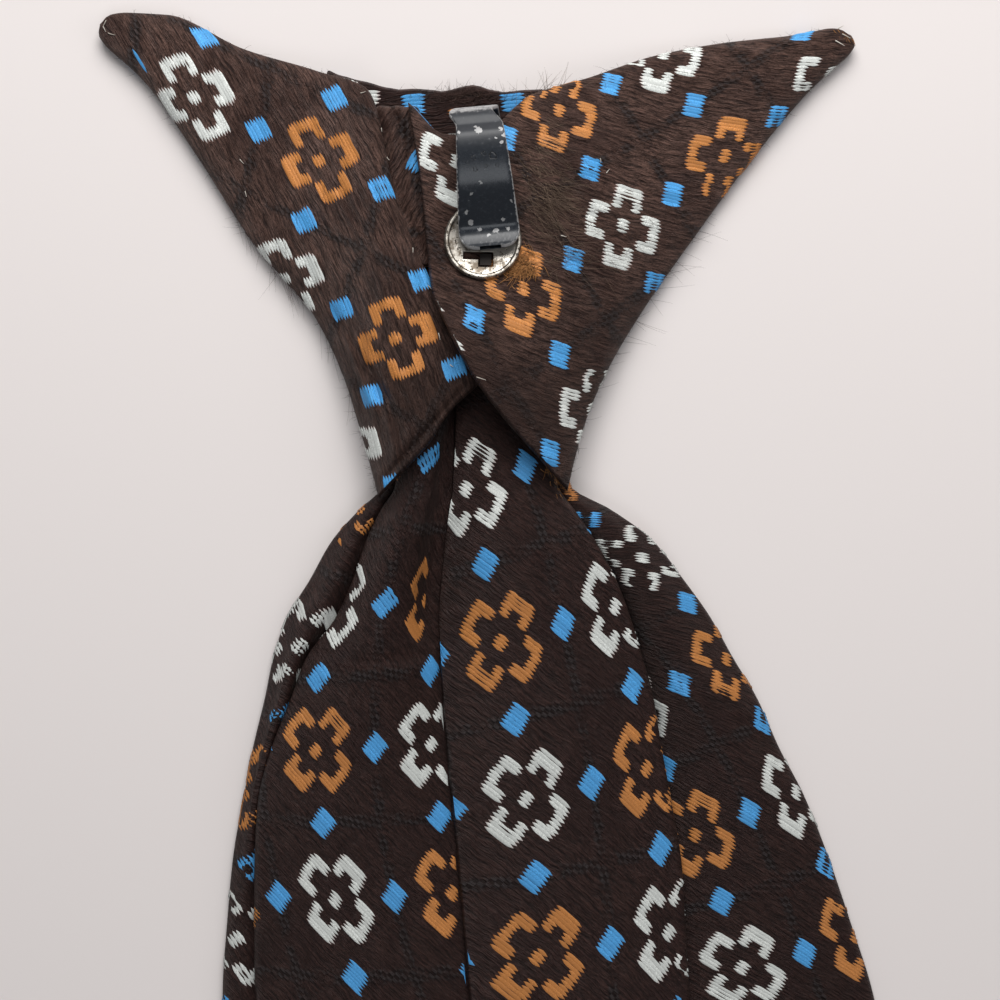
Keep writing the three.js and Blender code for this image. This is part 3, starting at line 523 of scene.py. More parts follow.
def folded_path(row, narrowing):
    """Nodes of the cloth's middle line across each section, from the seam's free edge round to
    the hidden end under it, as across and height. Both sides have a fold, a pleat's inner turn,
    a roll and an outer edge."""
    def across(share):
        """A share of half the blade's width there, in millimetres."""
        return share * HALF_BLADE * narrowing

    def puff(share):
        """A share of the blade's loft, in millimetres."""
        return share * BLADE_LOFT

    inner = 0.5 * STEP * np.minimum(1, 2.5 * narrowing)

    def side_of(side, outward):
        """One side's fold, its height, the pleat's inner turn, its bend and drop, then the heights
        of the roll and of the outer edge, and the edge's place and turn."""
        fold, tuck, folded = (row[f"{side}_{part}"] for part in ("fold", "tuck", "folded"))
        loft = puff(row[f"roll_{side}_puff"])
        edge_high = STEP + 0.45 * loft
        pleat = (
            across(fold), (1 + 2 * folded) * STEP + puff(row[f"{side}_fold_puff"]),
            across(fold - outward * tuck), inner * (2 * smooth(-0.02, 0.02, tuck) - 1),
            STEP * np.minimum(1, folded))
        roll = STEP + loft, edge_high
        return pleat, roll, across(row[f"outer_{side}"]), np.minimum(0.5 * edge_high, across(0.12))

    seam = across(row["seam"])
    seam_high = 2 * STEP + puff(row["seam_puff"])
    crown_high = (2 + row["right_folded"]) * STEP + puff(row["centre_puff"])
    pleat, roll, edge, edge_turn = side_of("right", 1)
    right, right_high, right_in, right_bend, right_drop = pleat
    roll_high, edge_high = roll
    roll_start = right - np.where(row["right_folded"] > 0.99, 0.6 * STEP, 0)
    under_fold = np.maximum(roll_start, right_in + inner)
    pleat, roll, left_edge, left_edge_turn = side_of("left", -1)
    left, left_high, left_in, left_bend, left_drop = pleat
    left_roll, left_edge_high = roll
    crest_high = (1 + 2 * row["left_folded"]) * STEP + puff(row["left_puff"])
    valley_high = STEP + puff(row["valley_puff"])
    valley = seam - (VALLEY_GAP + row["open"] * VALLEY_OPEN) * narrowing
    hem = across(row["seam"] + HEM_UNDER_SEAM)
    left_under = np.minimum(left - SEAT_GAP * narrowing, left_in - 1.6 * inner)
    folded = np.minimum(1, row["right_folded"])
    level = STEP + 0 * seam
    flat = 0 * seam

    def roll_at(t):
        """Across the right roll: from under its fold at 0 to the outer edge's turn at 1."""
        return mix(under_fold, edge - edge_turn, t)

    def left_roll_at(t):
        """Across the left roll: from the outer edge's turn at 0 to under the fold at 1."""
        return mix(left_edge + left_edge_turn, left_under, t)

    def panel_at(t):
        """Across the left panel: from its fold at 0 to the valley beside the seam at 1."""
        return mix(left + inner, valley, t)

    nodes = [
        (seam, seam_high),
        (mix(seam, right, 0.1), mix(seam_high, crown_high, 0.42)),
        (mix(seam, right, 0.28), mix(seam_high, crown_high, 0.9)),
        (mix(seam, right, 0.48), mix(crown_high, right_high, mix(0.3, 0.02, folded))),
        (mix(seam, right, 0.68), mix(crown_high, right_high, mix(0.65, 0.22, folded))),
        (mix(seam, right, 0.86), mix(crown_high, right_high, mix(0.93, 0.66, folded))),
        (right - inner, right_high),
        (right, right_high - 0.5 * right_drop),
        (right - right_bend, right_high - right_drop),
        (right_in + right_bend, (1 + folded) * STEP),
        (right_in, (1 + 0.5 * folded) * STEP),
        (right_in + inner, level),
        (roll_at(0.04), STEP + 0.1 * (roll_high - STEP)),
        (roll_at(0.22), mix(STEP, roll_high, 0.72)),
        (roll_at(0.48), roll_high),
        (roll_at(0.76), mix(edge_high, roll_high, 0.75)),
        (roll_at(1), edge_high),
        (edge, 0.5 * edge_high),
        (edge - edge_turn, flat),
        (mix(edge, left_edge, 0.25), flat),
        (mix(edge, left_edge, 0.5), flat),
        (mix(edge, left_edge, 0.75), flat),
        (left_edge + left_edge_turn, flat),
        (left_edge, 0.5 * left_edge_high),
        (left_roll_at(0), left_edge_high),
        (left_roll_at(0.5), left_roll),
        (left_roll_at(1), mix(STEP, left_roll, 0.12)),
        (left_in - inner, level),
        (left_in, (1 + 0.5 * row["left_folded"]) * STEP),
        (left_in - left_bend, (1 + row["left_folded"]) * STEP),
        (left + left_bend, left_high - left_drop),
        (left, left_high - 0.5 * left_drop),
        (panel_at(0), left_high),
        (panel_at(0.26), mix(left_high, crest_high, 0.8)),
        (panel_at(0.5), crest_high),
        (panel_at(0.78), mix(crest_high, valley_high, 0.3)),
        (panel_at(1), mix(crest_high, valley_high, 0.95)),
        (seam + 1.2 * narrowing, valley_high),
        (hem, mix(STEP, valley_high, 0.4)),
    ]
    return np.stack([np.stack(node, axis=-1) for node in nodes], axis=1)


def smooth_path(nodes, parts):
    """Curve through the nodes of each section: cubic arcs whose end tangents point from the node
    before to the node after, and are as long as the shorter of the two steps."""
    steps = np.diff(nodes, axis=1)
    sizes = np.linalg.norm(steps, axis=-1, keepdims=True)
    chord = unit(nodes[:, 2:] - nodes[:, :-2]) * np.minimum(sizes[:, :-1], sizes[:, 1:])
    tangents = np.concatenate([steps[:, :1], chord, steps[:, -1:]], axis=1)
    t = (np.arange(parts) / parts)[None, None, :, None]
    a, b = nodes[:, :-1, None], nodes[:, 1:, None]
    ma, mb = tangents[:, :-1, None], tangents[:, 1:, None]
    arcs = (
        (2 * t ** 3 - 3 * t ** 2 + 1) * a + (t ** 3 - 2 * t ** 2 + t) * ma
        + (3 * t ** 2 - 2 * t ** 3) * b + (t ** 3 - t ** 2) * mb
    )
    return np.concatenate([arcs.reshape(len(nodes), -1, 2), nodes[:, -1:]], axis=1)


def blade_place(down, across, high):
    """Place of a point of the blade: down its leaning middle, then across its own section."""
    leaning = np.maximum(down, 0) * math.tan(BLADE_LEAN)
    angle = BLADE_LEAN * smooth(LEAN_BEGINS, LEAN_ENDS, down)
    x = NECK_OFFSET + leaning + across * np.cos(angle)
    y = -down + across * np.sin(angle)
    return np.stack([x, y, high], axis=-1)


# Heights over which creases come in, and points over which their stretches are softened
CREASE_HIGH = (1.5, 5.5)
SOFT_POINTS = 3
# Nodes between which the folded cloth faces up and takes creases
TOP_STRETCHES = [(-1, 6.5), (12, 16.5), (24, 26.2), (32, 36)]

# Creases pressed into the blade: two ends in the picture, height in millimetres, width in pixels
BLADE_CREASES = [
    (325, 668, 440, 654, -0.5, 5),
    (330, 676, 440, 664, 0.4, 7),
    (640, 640, 800, 772, -0.55, 7),
    (655, 640, 812, 768, 0.5, 9),
    (470, 520, 462, 640, 0.35, 12),
    (600, 560, 660, 720, -0.4, 10),
    (500, 520, 560, 700, 0.3, 16),
    (690, 840, 800, 905, -0.3, 9),
    (300, 700, 280, 820, 0.3, 9),
    (395, 560, 372, 640, -0.35, 9),
    (470, 700, 500, 900, -0.2, 14),
]


def blade_grid():
    """The blade's middle surface: stations down its length, close together where the neck
    gathers it, each with its folded path made smooth."""
    first = FOLD_ROWS[0][0] * BLADE_LENGTH
    tip = BLADE_LENGTH - POINT_BLUNTNESS
    near = np.linspace(first, SEEN_DOWN, SEEN_STATIONS, endpoint=False)
    far = np.linspace(SEEN_DOWN, tip, FAR_STATIONS)
    down = np.concatenate([near, far])
    at = down / BLADE_LENGTH
    places = [row[0] for row in FOLD_ROWS]
    row = table_curves(FOLD_COLUMNS, FOLD_ROWS, places, at)
    row.update(table_curves(PUFF_COLUMNS, PUFF_ROWS, places, at))
    begin, full, fading, shut = VALLEY_REACH
    row["open"] = smooth(begin, full, at) * (1 - smooth(fading, shut, at))
    narrowing = np.minimum(1, (1 - at) * BLADE_LENGTH / POINT_DEPTH)
    floor = row["lift"] * NECK_FLOOR + 0.5 * CLOTH
    path = smooth_path(folded_path(row, narrowing), PATH_PARTS)
    return down, floor, path


def blade_skins(down, floor, path):
    """Both skins of the blade: half the cloth to each side of its middle line, and the same
    creases and soft unevenness pressed into both where the cloth faces up."""
    run = unit(np.gradient(path, axis=1))
    normal = np.stack([-run[..., 1], run[..., 0]], axis=-1)
    wide = np.broadcast_to(down[:, None], path.shape[:2])
    middle = blade_place(wide, path[..., 0], floor[:, None] + path[..., 1])
    facing_up = np.clip(normal[..., 1], 0, 1)
    node = np.arange(path.shape[1]) / PATH_PARTS
    on_top = np.zeros(len(node), bool)
    for first, last in TOP_STRETCHES:
        on_top |= (node > first) & (node < last)
    spread = 2 * SOFT_POINTS + 1
    padded = np.pad(on_top.astype(float), SOFT_POINTS, mode="edge")
    soft = np.convolve(padded, np.ones(spread) / spread, "valid")
    room = smooth(*CREASE_HIGH, path[..., 1]) * soft[None, :] * facing_up
    pressed = creases(seen(middle), BLADE_CREASES)
    uneven = UNEVEN * ripple(middle[..., 0], middle[..., 1], 11, BLADE_WAVES)
    relief = room * (pressed + uneven)
    skins = []
    for side in (0.5, -0.5):
        line = path + side * CLOTH * normal
        high = floor[:, None] + line[..., 1] + relief
        skins.append(blade_place(wide, line[..., 0], high))
    return skins


def rigid_weave(plan, origin, angle, mirrored=False):
    """The weave laid flat on a plan: turned by an angle about a white flower, in quarter repeats."""
    rel = (plan - np.asarray(origin, float)) * (4 / REPEAT)
    if mirrored:
        rel = rel * np.array([-1, 1])
    return on_axes(rel, angle)


def blade_weave(down, path, top):
    """The weave over the whole folded cloth. Each stretch is unrolled from its own line, by the
    length along the section, and read there; the readings meet inside the pleats and at the edges."""
    steps = np.linalg.norm(np.diff(path, axis=1), axis=-1)
    length = np.pad(np.cumsum(steps, axis=1), ((0, 0), (1, 0)))
    angle = BLADE_LEAN * smooth(LEAN_BEGINS, LEAN_ENDS, down)[:, None]
    wide = np.broadcast_to(down[:, None], length.shape)
    places = seen(top)
    node = np.arange(path.shape[1]) / PATH_PARTS
    shown = down < SEEN_DOWN
    readings = {}
    for name, (first, last, from_node) in STRETCHES.items():
        k = from_node * PATH_PARTS
        base = blade_place(wide[:, k:k + 1], path[:, k:k + 1, 0], 0 * wide[:, k:k + 1])
        off = length - length[:, k:k + 1]
        aside = np.stack([np.cos(angle), np.sin(angle)], axis=-1)
        plan = base[..., :2] + off[..., None] * aside
        span = slice(first * PATH_PARTS, last * PATH_PARTS + 1)
        seen_part = places[shown][:, span], plan[shown][:, span], plan
        if name == "front":
            readings[name] = rigid_weave(top[..., :2], FRONT_FLOWER, math.radians(45), mirrored=True)
        elif name == "left_roll":
            readings[name] = roll_weave(*seen_part)
        else:
            readings[name] = read_weave_on(name, *seen_part, WEAVE_DEGREE[name])
    lower = rigid_back(top, readings["centre"], down)
    turn = int(np.searchsorted(down, 0.5 * (BLEND_BEGINS + BLEND_ENDS)))
    for name, (first, last, _) in STRETCHES.items():
        if name != "front":
            k = (first + last) * PATH_PARTS // 2
            whole = 4 * np.round((lower[turn, k] - readings[name][turn, k]) / 4)
            readings[name] = readings[name] + whole
    order = list(STRETCHES)
    uv = readings[order[0]]
    for before, after in zip(order, order[1:]):
        begin, end = STRETCHES[before][1], STRETCHES[after][0]
        pleated = before in ("centre", "left_roll")
        begin, end = (begin - 0.2, end + 0.4) if pleated else (begin + 0.1, end - 0.1)
        share = smooth(begin, end, node)[None, :, None]
        uv = mix(uv, readings[after], share)
    on_back = 1 - smooth(*FRONT_BEGINS, node) * (1 - smooth(*FRONT_ENDS, node))
    share = (smooth(BLEND_BEGINS, BLEND_ENDS, down)[:, None] * on_back[None, :])[..., None]
    return mix(uv, lower, share)


def read_weave_on(name, places, plan, whole_plan, degree):
    """Reads the weave on the seen part of a stretch, and carries the reading on past it. Far from
    what is seen the plan is brought back to the last seen place and continued straight."""
    chart, low, high = weave_chart(name, places, plan, degree)
    kept = np.clip(whole_plan, low, high)
    ahead = whole_plan - kept
    step = 0.5
    gx = (chart(kept + [step, 0]) - chart(kept - [step, 0])) / (2 * step)
    gy = (chart(kept + [0, step]) - chart(kept - [0, step])) / (2 * step)
    return chart(kept) + gx * ahead[..., :1] + gy * ahead[..., 1:]


def weave_chart(name, places, plan, degree):
    """A function from flat places to quarter repeats, and the two corners of the flat places
    that it was fitted to. Each figure seen gives one place whose quarter repeats are whole; the
    curve through them is found by least squares, with its bends held small."""
    origin, half_p, half_q = (np.array(v, float) for v in FIRST_READING[name])
    basis = np.stack([half_p, half_q], axis=1) / 2
    kinds = [row[0] for row in FIGURES_SEEN[name]]
    spots = np.array([row[1:3] for row in FIGURES_SEEN[name]], float)
    rough = np.linalg.solve(basis, (spots - origin).T).T
    offset = np.array([{"white": 0.0, "orange": 2.0, "blue": 1.0}[k] for k in kinds])[:, None]
    period = np.array([2.0 if k == "blue" else 4.0 for k in kinds])[:, None]
    exact = np.round((rough - offset) / period) * period + offset
    for k, row in enumerate(FIGURES_SEEN[name]):
        if len(row) > 3:
            exact[k] = row[3:]
    flat_places = places.reshape(-1, 2)
    flat_plan = plan.reshape(-1, 2)
    near = [nearest(flat_places, s) for s in spots]
    centre = flat_plan[near].mean(0)

    def terms(p):
        """Powers of a flat place up to the curve's degree, in repeats from the middle."""
        x = (p[..., 0] - centre[0]) / REPEAT
        y = (p[..., 1] - centre[1]) / REPEAT
        first = [np.ones_like(x), x, y, x * x, x * y, y * y]
        third = [x ** 3, x * x * y, x * y * y, y ** 3]
        return np.stack(first + (third if degree == 3 else []), axis=-1)

    design = terms(flat_plan[near])
    count = design.shape[1]
    soft = CHART_STIFFNESS * np.eye(count)[3:]
    wanted = np.vstack([exact, np.zeros((count - 3, 2))])
    fitted = np.linalg.lstsq(np.vstack([design, soft]), wanted, rcond=None)[0]
    margin = CHART_MARGIN * REPEAT
    low, high = flat_plan[near].min(0) - margin, flat_plan[near].max(0) + margin
    return lambda p: terms(p) @ fitted, low, high


def roll_weave(places, plan, whole_plan):
    """The narrow left roll shows one column of figures: its weave is turned and scaled so that
    the first and last of them lie where they are seen."""
    rows = FIGURES_SEEN["left_roll"]
    flat_places = places.reshape(-1, 2)
    flat_plan = plan.reshape(-1, 2)
    ends = [np.array(rows[0][1:], float), np.array(rows[-1][1:], float)]
    a, b = (flat_plan[nearest(flat_places, s)] for s in ends)
    along = b - a
    angle = math.atan2(along[1], along[0])
    scale = math.hypot(4, 4) / np.hypot(*along)
    run, off = np.moveaxis(on_axes((whole_plan - a) * scale, angle), -1, 0)
    return np.stack([(run + off) / math.sqrt(2), (off - run) / math.sqrt(2)], axis=-1)


def rigid_back(top, centre_reading, down):
    """Below the pleats the back is one flat cloth, read as the centre panel is where it ends."""
    i = int(np.searchsorted(down, BACK_READ_AT))
    k = 3 * PATH_PARTS
    here = top[i, k, :2]
    value = centre_reading[i, k]
    dx = (centre_reading[i, k + 4] - value) / (top[i, k + 4, 0] - here[0])
    angle = math.atan2(-dx[1], dx[0])
    return value + on_axes((top[..., :2] - here) * (4 / REPEAT), angle)


# Woven figures: rows across the floats, each with the floats' two ends, in weave rows
FLOWER = {
    12: [(-4.4, 4.4)], 11: [(-4.9, 4.9)], 10: [(-5.0, 5.0)], 9: [(-5.0, 5.0)],
    8: [(-4.9, -1.5), (1.5, 4.9)], 7: [(-4.9, -1.7), (1.7, 4.9)], 6: [(-4.8, -1.8), (1.8, 4.8)],
    5: [(-11.6, -5.2), (5.2, 11.6)], 4: [(-12.0, -5.2), (5.2, 12.0)],
    3: [(-12.2, -5.4), (5.4, 12.2)], 2: [(-12.2, -8.6), (8.6, 12.2)],
    1: [(-12.2, -8.8), (-1.7, 1.7), (8.8, 12.2)], 0: [(-12.2, -8.8), (-1.9, 1.9), (8.8, 12.2)],
    -1: [(-12.2, -8.8), (-1.9, 1.9), (8.8, 12.2)], -2: [(-12.2, -8.6), (-1.7, 1.7), (8.6, 12.2)],
    -3: [(-12.2, -5.4), (5.4, 12.2)], -4: [(-12.0, -5.2), (5.2, 12.0)],
    -5: [(-11.6, -5.2), (5.2, 11.6)],
    -6: [(-4.8, -1.8), (1.8, 4.8)], -7: [(-4.9, -1.7), (1.7, 4.9)], -8: [(-4.9, -1.5), (1.5, 4.9)],
    -9: [(-5.0, 5.0)], -10: [(-5.0, 5.0)], -11: [(-4.9, 4.9)], -12: [(-4.4, 4.4)],
}
SQUARE = {row: [(-3.2, 3.2)] for row in range(-3, 4)}
# Where in the repeat each kind of figure lies, in quarter repeats, and how far its middle may be
# past the edge of the cloth, in weave rows
FIGURE_PLACES = {
    "white": [(0, 0)], "orange": [(2, 2)], "blue": [(1, 1), (1, 3), (3, 1), (3, 3)],
}
FIGURE_REACH = {"white": 18.0, "orange": 18.0, "blue": 11.0}
# A float's own sizes in weave rows, its height in millimetres, and the points that make it up:
# stations along it, three across each
FLOAT_STATIONS = 8
FLOAT_POINTS = 3 * FLOAT_STATIONS
FLOAT_WIDTH = 0.66
FLOAT_LIFT = 0.13
FLOAT_SINK = 0.03
FLOAT_TIP = 1.9
LONGEST_TIP = 0.45
# How the floats differ: each end runs past its chart, and is then moved by up to the play in
# weave rows, each float is moved sideways by up to its sway, and its lift is multiplied
FLOAT_OVERRUN = 0.35
FLOAT_END_PLAY = 0.3
FLOAT_SWAY = 0.08
LIFT_PLAY = (0.8, 1.25)
# A float is kept where enough of its points are found, where it isn't lost by many rows, and
# where it isn't squeezed to less than this share of its length
FOUND_SHARE = 0.3
LOST_ROWS = 3
SHORTEST = 0.15
# Search for a float's place on the cloth: how much the steps are damped, how far off a found
# place may be in weave rows, and where in the grid the search starts again for those that miss
DAMPING = 0.01
FOUND = 0.4
RESTARTS = [(0, 5), (0, -5), (0, 13), (0, -13), (0, 22), (0, -22), (2, 0)]
# Where folds and turned edges bury parts of the figures, and, in the valley beside the seam and at
# the top of the V, where figures are left out so that the cloth shows dark as painted shade: place
# and radius in the picture
BURIED_AND_SHADED = [
    (409, 234, 22), (376, 92, 10), (122, 60, 15), (190, 153, 14), (436, 483, 14), (431, 534, 11),
    (458, 408, 8), (322, 570, 18), (840, 46, 18), (104, 28, 13), (453, 137, 8), (402, 158, 9),
    (348, 535, 8),
]


def on_grid(values, at):
    """Values of a grid at broken row and column numbers, by bilinear mixing, and how they change
    from one row and from one column to the next."""
    i = np.clip(np.floor(at[:, 0]).astype(int), 0, values.shape[0] - 2)
    j = np.clip(np.floor(at[:, 1]).astype(int), 0, values.shape[1] - 2)
    a = (at[:, 0] - i)[:, None]
    b = (at[:, 1] - j)[:, None]
    here, right = values[i, j], values[i, j + 1]
    below, far = values[i + 1, j], values[i + 1, j + 1]
    value = mix(mix(here, right, b), mix(below, far, b), a)
    return value, mix(below - here, far - right, b), mix(right - here, far - below, a)


def find_on_cloth(uv, start, target, rounds=16):
    """Row and column of the grid where the weave's coordinates are the target's: damped Newton
    steps, kept short and inside the grid. Also gives how far off each one ends, in weave rows."""
    at = start.astype(float).copy()
    top = np.array([uv.shape[0] - 1, uv.shape[1] - 1], float)
    for _ in range(rounds):
        value, di, dj = on_grid(uv, at)
        off = target - value
        first = di[:, 0] ** 2 + dj[:, 0] ** 2 + DAMPING
        both = di[:, 0] * di[:, 1] + dj[:, 0] * dj[:, 1]
        second = di[:, 1] ** 2 + dj[:, 1] ** 2 + DAMPING
        det = first * second - both ** 2
        pull = np.stack([
            off[:, 0] * second - off[:, 1] * both, off[:, 1] * first - off[:, 0] * both], axis=-1)
        pull = pull / det[:, None]
        step = np.stack([(di * pull).sum(-1), (dj * pull).sum(-1)], axis=-1)
        at = at + np.clip(step, -3, 3)
        at = np.clip(at, 0, top)
    value, _, _ = on_grid(uv, at)
    return at, np.linalg.norm(target - value, axis=-1)


def figure_middles(uv, kind):
    """Repeats' places that fall on this stretch of cloth or just past its edge, each with the
    nearest point of the grid. uv is in weave rows."""
    low = np.floor(uv.reshape(-1, 2).min(0) / REPEAT_ROWS) - 1
    high = np.ceil(uv.reshape(-1, 2).max(0) / REPEAT_ROWS) + 1
    a, b = np.meshgrid(np.arange(low[0], high[0] + 1), np.arange(low[1], high[1] + 1))
    base = np.stack([a.ravel(), b.ravel()], axis=-1) * REPEAT_ROWS
    quarter = REPEAT_ROWS / 4
    middles = np.concatenate([base + np.array(m) * quarter for m in FIGURE_PLACES[kind]])
    flat = uv.reshape(-1, 2)
    kept, starts = [], []
    for middle in middles:
        k = nearest(flat, middle)
        if ((flat[k] - middle) ** 2).sum() < FIGURE_REACH[kind] ** 2:
            kept.append(middle)
            starts.append(divmod(k, uv.shape[1]))
    return np.array(kept).reshape(-1, 2), np.array(starts, float).reshape(-1, 2)


def float_threads(grid, normals, uv, kind, rng):
    """Every float of one colour on a stretch of cloth. A float is a lens-shaped thread: pointed
    at both ends, as wide as a row in between, and raised along its middle. Over each tip its
    width follows 1.55 t less 0.55 t squared, and its height the root of 2 t less t squared."""
    chart = SQUARE if kind == "blue" else FLOWER
    middles, starts = figure_middles(uv, kind)
    if not len(middles):
        return np.zeros((0, FLOAT_STATIONS, 3, 3)), np.zeros((0, FLOAT_STATIONS, 3, 2))
    rows = [(row, a, b) for row, spans in chart.items() for a, b in spans]
    rows = np.array(rows, float)
    count = len(middles) * len(rows)
    middle = np.repeat(middles, len(rows), axis=0)
    start = np.repeat(starts, len(rows), axis=0)
    row = np.tile(rows, (len(middles), 1))
    past = np.array([-FLOAT_OVERRUN, FLOAT_OVERRUN])
    ends = row[:, 1:] + past + rng.uniform(-FLOAT_END_PLAY, FLOAT_END_PLAY, (count, 2))
    length = ends[:, 1] - ends[:, 0]
    reach = np.minimum(FLOAT_TIP / length, LONGEST_TIP)[:, None]
    s = np.concatenate([0 * reach, 0.3 * reach, 0.7 * reach, 1.1 * reach], axis=1)
    s = np.concatenate([s, 1 - s[:, ::-1]], axis=1)
    tip = np.clip(np.minimum(s, 1 - s) / reach, 0, 1)
    width = FLOAT_WIDTH * np.clip(tip * (1.55 - 0.55 * tip), 0.05, 1)
    crown = np.sqrt(np.clip(tip * (2 - tip), 0, 1))
    along = ends[:, :1] + s * length[:, None]
    sway = rng.uniform(-FLOAT_SWAY, FLOAT_SWAY, (count, 1))
    side = np.array([-1.0, 0.0, 1.0])
    p = middle[:, None, None, 0] + along[..., None] + 0 * side
    q = middle[:, None, None, 1] + row[:, None, None, 0] + sway[..., None] + width[..., None] * side
    target = np.stack([p, q], axis=-1).reshape(-1, 2)
    begin = np.repeat(start, FLOAT_POINTS, axis=0)
    at, off = find_on_cloth(uv, begin, target)
    for move in RESTARTS:
        lost = np.flatnonzero(off > FOUND)
        again, gap = find_on_cloth(uv, begin[lost] + move, target[lost])
        closer = gap < off[lost]
        at[lost[closer]] = again[closer]
        off[lost[closer]] = gap[closer]
    place, _, _ = on_grid(grid, at)
    normal, _, _ = on_grid(normals, at)
    shape = (count, FLOAT_STATIONS, 3)
    off = off.reshape(shape)
    found = (off < FOUND).mean((1, 2)) > FOUND_SHARE
    good = found & (np.median(off, axis=(1, 2)) < LOST_ROWS)
    lift = np.where(side == 0, FLOAT_LIFT, -FLOAT_SINK)[None, None, :] * crown[..., None]
    lift = lift * rng.uniform(*LIFT_PLAY, (count, 1, 1))
    points = place.reshape(*shape, 3) + unit(normal).reshape(*shape, 3) * lift[..., None]
    shade = np.broadcast_to(rng.uniform(0, 1, (count, 1, 1)), shape)
    uvs = np.stack([np.broadcast_to(s[..., None], shape), shade], axis=-1)
    spread = np.linalg.norm(points[:, -1, 1] - points[:, 0, 1], axis=-1)
    whole = spread > SHORTEST * ROW * length
    spots = seen(points[:, 3:5, 1].mean(1))
    faces_up = normal.reshape(count, FLOAT_POINTS, 3)[..., 2].mean(1) > 0
    # Floats are left out round each spot: buried under folds, and in the shaded valley and V left out
    # as painted shade
    for x, y, radius in BURIED_AND_SHADED:
        whole &= (((spots - np.array([x, y])) ** 2).sum(-1) > radius ** 2) | ~faces_up
    return points[good & whole], uvs[good & whole]


CLOTH_STRETCHES = []


def add_stretch(grid, normals, quarter_uv):
    """Keeps a stretch of cloth for weaving figures into; its weave is taken to rows."""
    CLOTH_STRETCHES.append((grid, normals, quarter_uv * (REPEAT_ROWS / 4)))


# Pieces of cloth

def make_blade():
    """The folded blade, and the stretches of it that carry figures."""
    down, floor, path = blade_grid()
    top, under = blade_skins(down, floor, path)
    uv = blade_weave(down, path, top)
    normals = grid_normals(top)
    node_high = normals[10, 2 * PATH_PARTS, 2]
    normals = normals * (1 if node_high > 0 else -1)
    parting = int(np.searchsorted(down, PLEATS_OPEN))
    above = slice(0, parting + 2)
    # The left panel's figures stop at the valley, which is left dark as painted shade
    folded = [(above, first, min(last, SHADED_VALLEY_NODE)) for first, last, _ in STRETCHES.values()]
    opened = [(slice(parting, len(down)), first, last) for first, last in OPEN_STRETCHES]
    for rows, first, last in folded + opened:
        span = slice(first * PATH_PARTS, last * PATH_PARTS + 1)
        add_stretch(top[rows, span], normals[rows, span], uv[rows, span])
    piece = make_wall("blade_cloth", top, under, uv / 4, uv / 4)
    widths = np.linalg.norm(np.diff(path, axis=1), axis=-1).sum(1)
    area = (0.5 * (widths[1:] + widths[:-1]) * np.diff(down)).sum()
    return piece, top, float(widths.max()), float(down[-1] - down[0]), float(area)


WING_STATIONS = 190
WING_CROSS = 90
WING_EDGE = 1.3
WING_CROWN = 4.1
WING_ROUNDNESS = 2.8
TIP_ROUND = 0.04
TIP_BLUNT = 0.6
# Puckers along the floats: their height and width, how far they wander to the side, the lengths
# of the waves in their strength and in their wandering, and the deepest share of the padding
PUCKER = 0.2
PUCKER_WIDTH = 2.7
PUCKER_WANDER = 1.6
DRAWN_WAVES = 22.0
WANDER_WAVES = 24.0
DEEPEST = 0.6
# Where the cloth is drawn harder: place and radius in millimetres, and how much more
PUCKER_PLACES = [(-21.0, 18.0, 11.0, 2.2), (-16.0, 44.0, 8.0, 1.2), (13.0, 45.0, 9.0, 1.0)]


def wing_grids(rows, root_rows, bumps, pressed, seed, reading):
    """A padded wing between its two long edges: the underside follows the table's heights and the
    top adds the padding, full in the middle and down to the hem at the edges."""
    t = np.linspace(0, 1, WING_STATIONS)[:, None]
    u = bunched(WING_CROSS)[None, :]
    row = table_curves(WING_COLUMNS, rows, even(rows), t)
    tip = np.sqrt(1 - (1 - np.clip(t / TIP_ROUND, 0, 1)) ** 2)
    middle_x = 0.5 * (row["upper_x"] + row["lower_x"])
    middle_y = 0.5 * (row["upper_y"] + row["lower_y"])
    kept = mix(TIP_BLUNT, 1, tip)
    for edge in ("upper", "lower"):
        row[edge + "_x"] = mix(middle_x, row[edge + "_x"], kept)
        row[edge + "_y"] = mix(middle_y, row[edge + "_y"], kept)
    last = {name: rows[-1][k] for k, name in enumerate(WING_COLUMNS)}
    root = table_curves(["x", "y"], root_rows, even(root_rows), u)
    reach = smooth(ROOT_REACH, 1, t)
    straight_x = mix(last["upper_x"], last["lower_x"], u)
    straight_y = mix(last["upper_y"], last["lower_y"], u)
    x = HALF_SPAN * (mix(row["upper_x"], row["lower_x"], u) + reach * (root["x"] - straight_x))
    y = KNOT_HEIGHT * (mix(row["upper_y"], row["lower_y"], u) + reach * (root["y"] - straight_y))
    heights = np.stack([row[f"high{k}"][:, 0] for k in range(5)], axis=-1)
    seat = WING_SEAT * np.stack([table_curve(np.linspace(0, 1, 5), h, u[0]) for h in heights])
    full = np.sqrt(np.clip(1 - np.abs(2 * u - 1) ** WING_ROUNDNESS, 0, 1)) * row["pad"]
    pad = mix(WING_EDGE, WING_CROWN, full) + full * bumps(x, y)
    under = np.stack([x, y, seat], axis=-1)
    top = np.stack([x, y, seat + pad], axis=-1)
    flat = unrolled(top)
    calm = np.clip(full * 1.3, 0, 1)
    relief = creases(seen(top), pressed) + UNEVEN * ripple(x, y, seed, WING_WAVES)
    run = np.array(FIRST_READING[reading][1], float) * [1, -1]
    run /= np.hypot(*run)
    off = -x * run[1] + y * run[0]
    drawn = 0.5 + 0.5 * ripple(x, y, seed + 5, DRAWN_WAVES)
    wander = PUCKER_WANDER * ripple(x, y, seed + 9, WANDER_WAVES)
    for px, py, radius, more in PUCKER_PLACES:
        drawn = drawn * (1 + more * hump(x, y, px, py, radius))
    relief = relief + PUCKER * drawn * np.sin(2 * math.pi * (off + wander) / PUCKER_WIDTH)
    top[..., 2] += calm * np.maximum(relief, -DEEPEST * pad)
    return top, under, flat


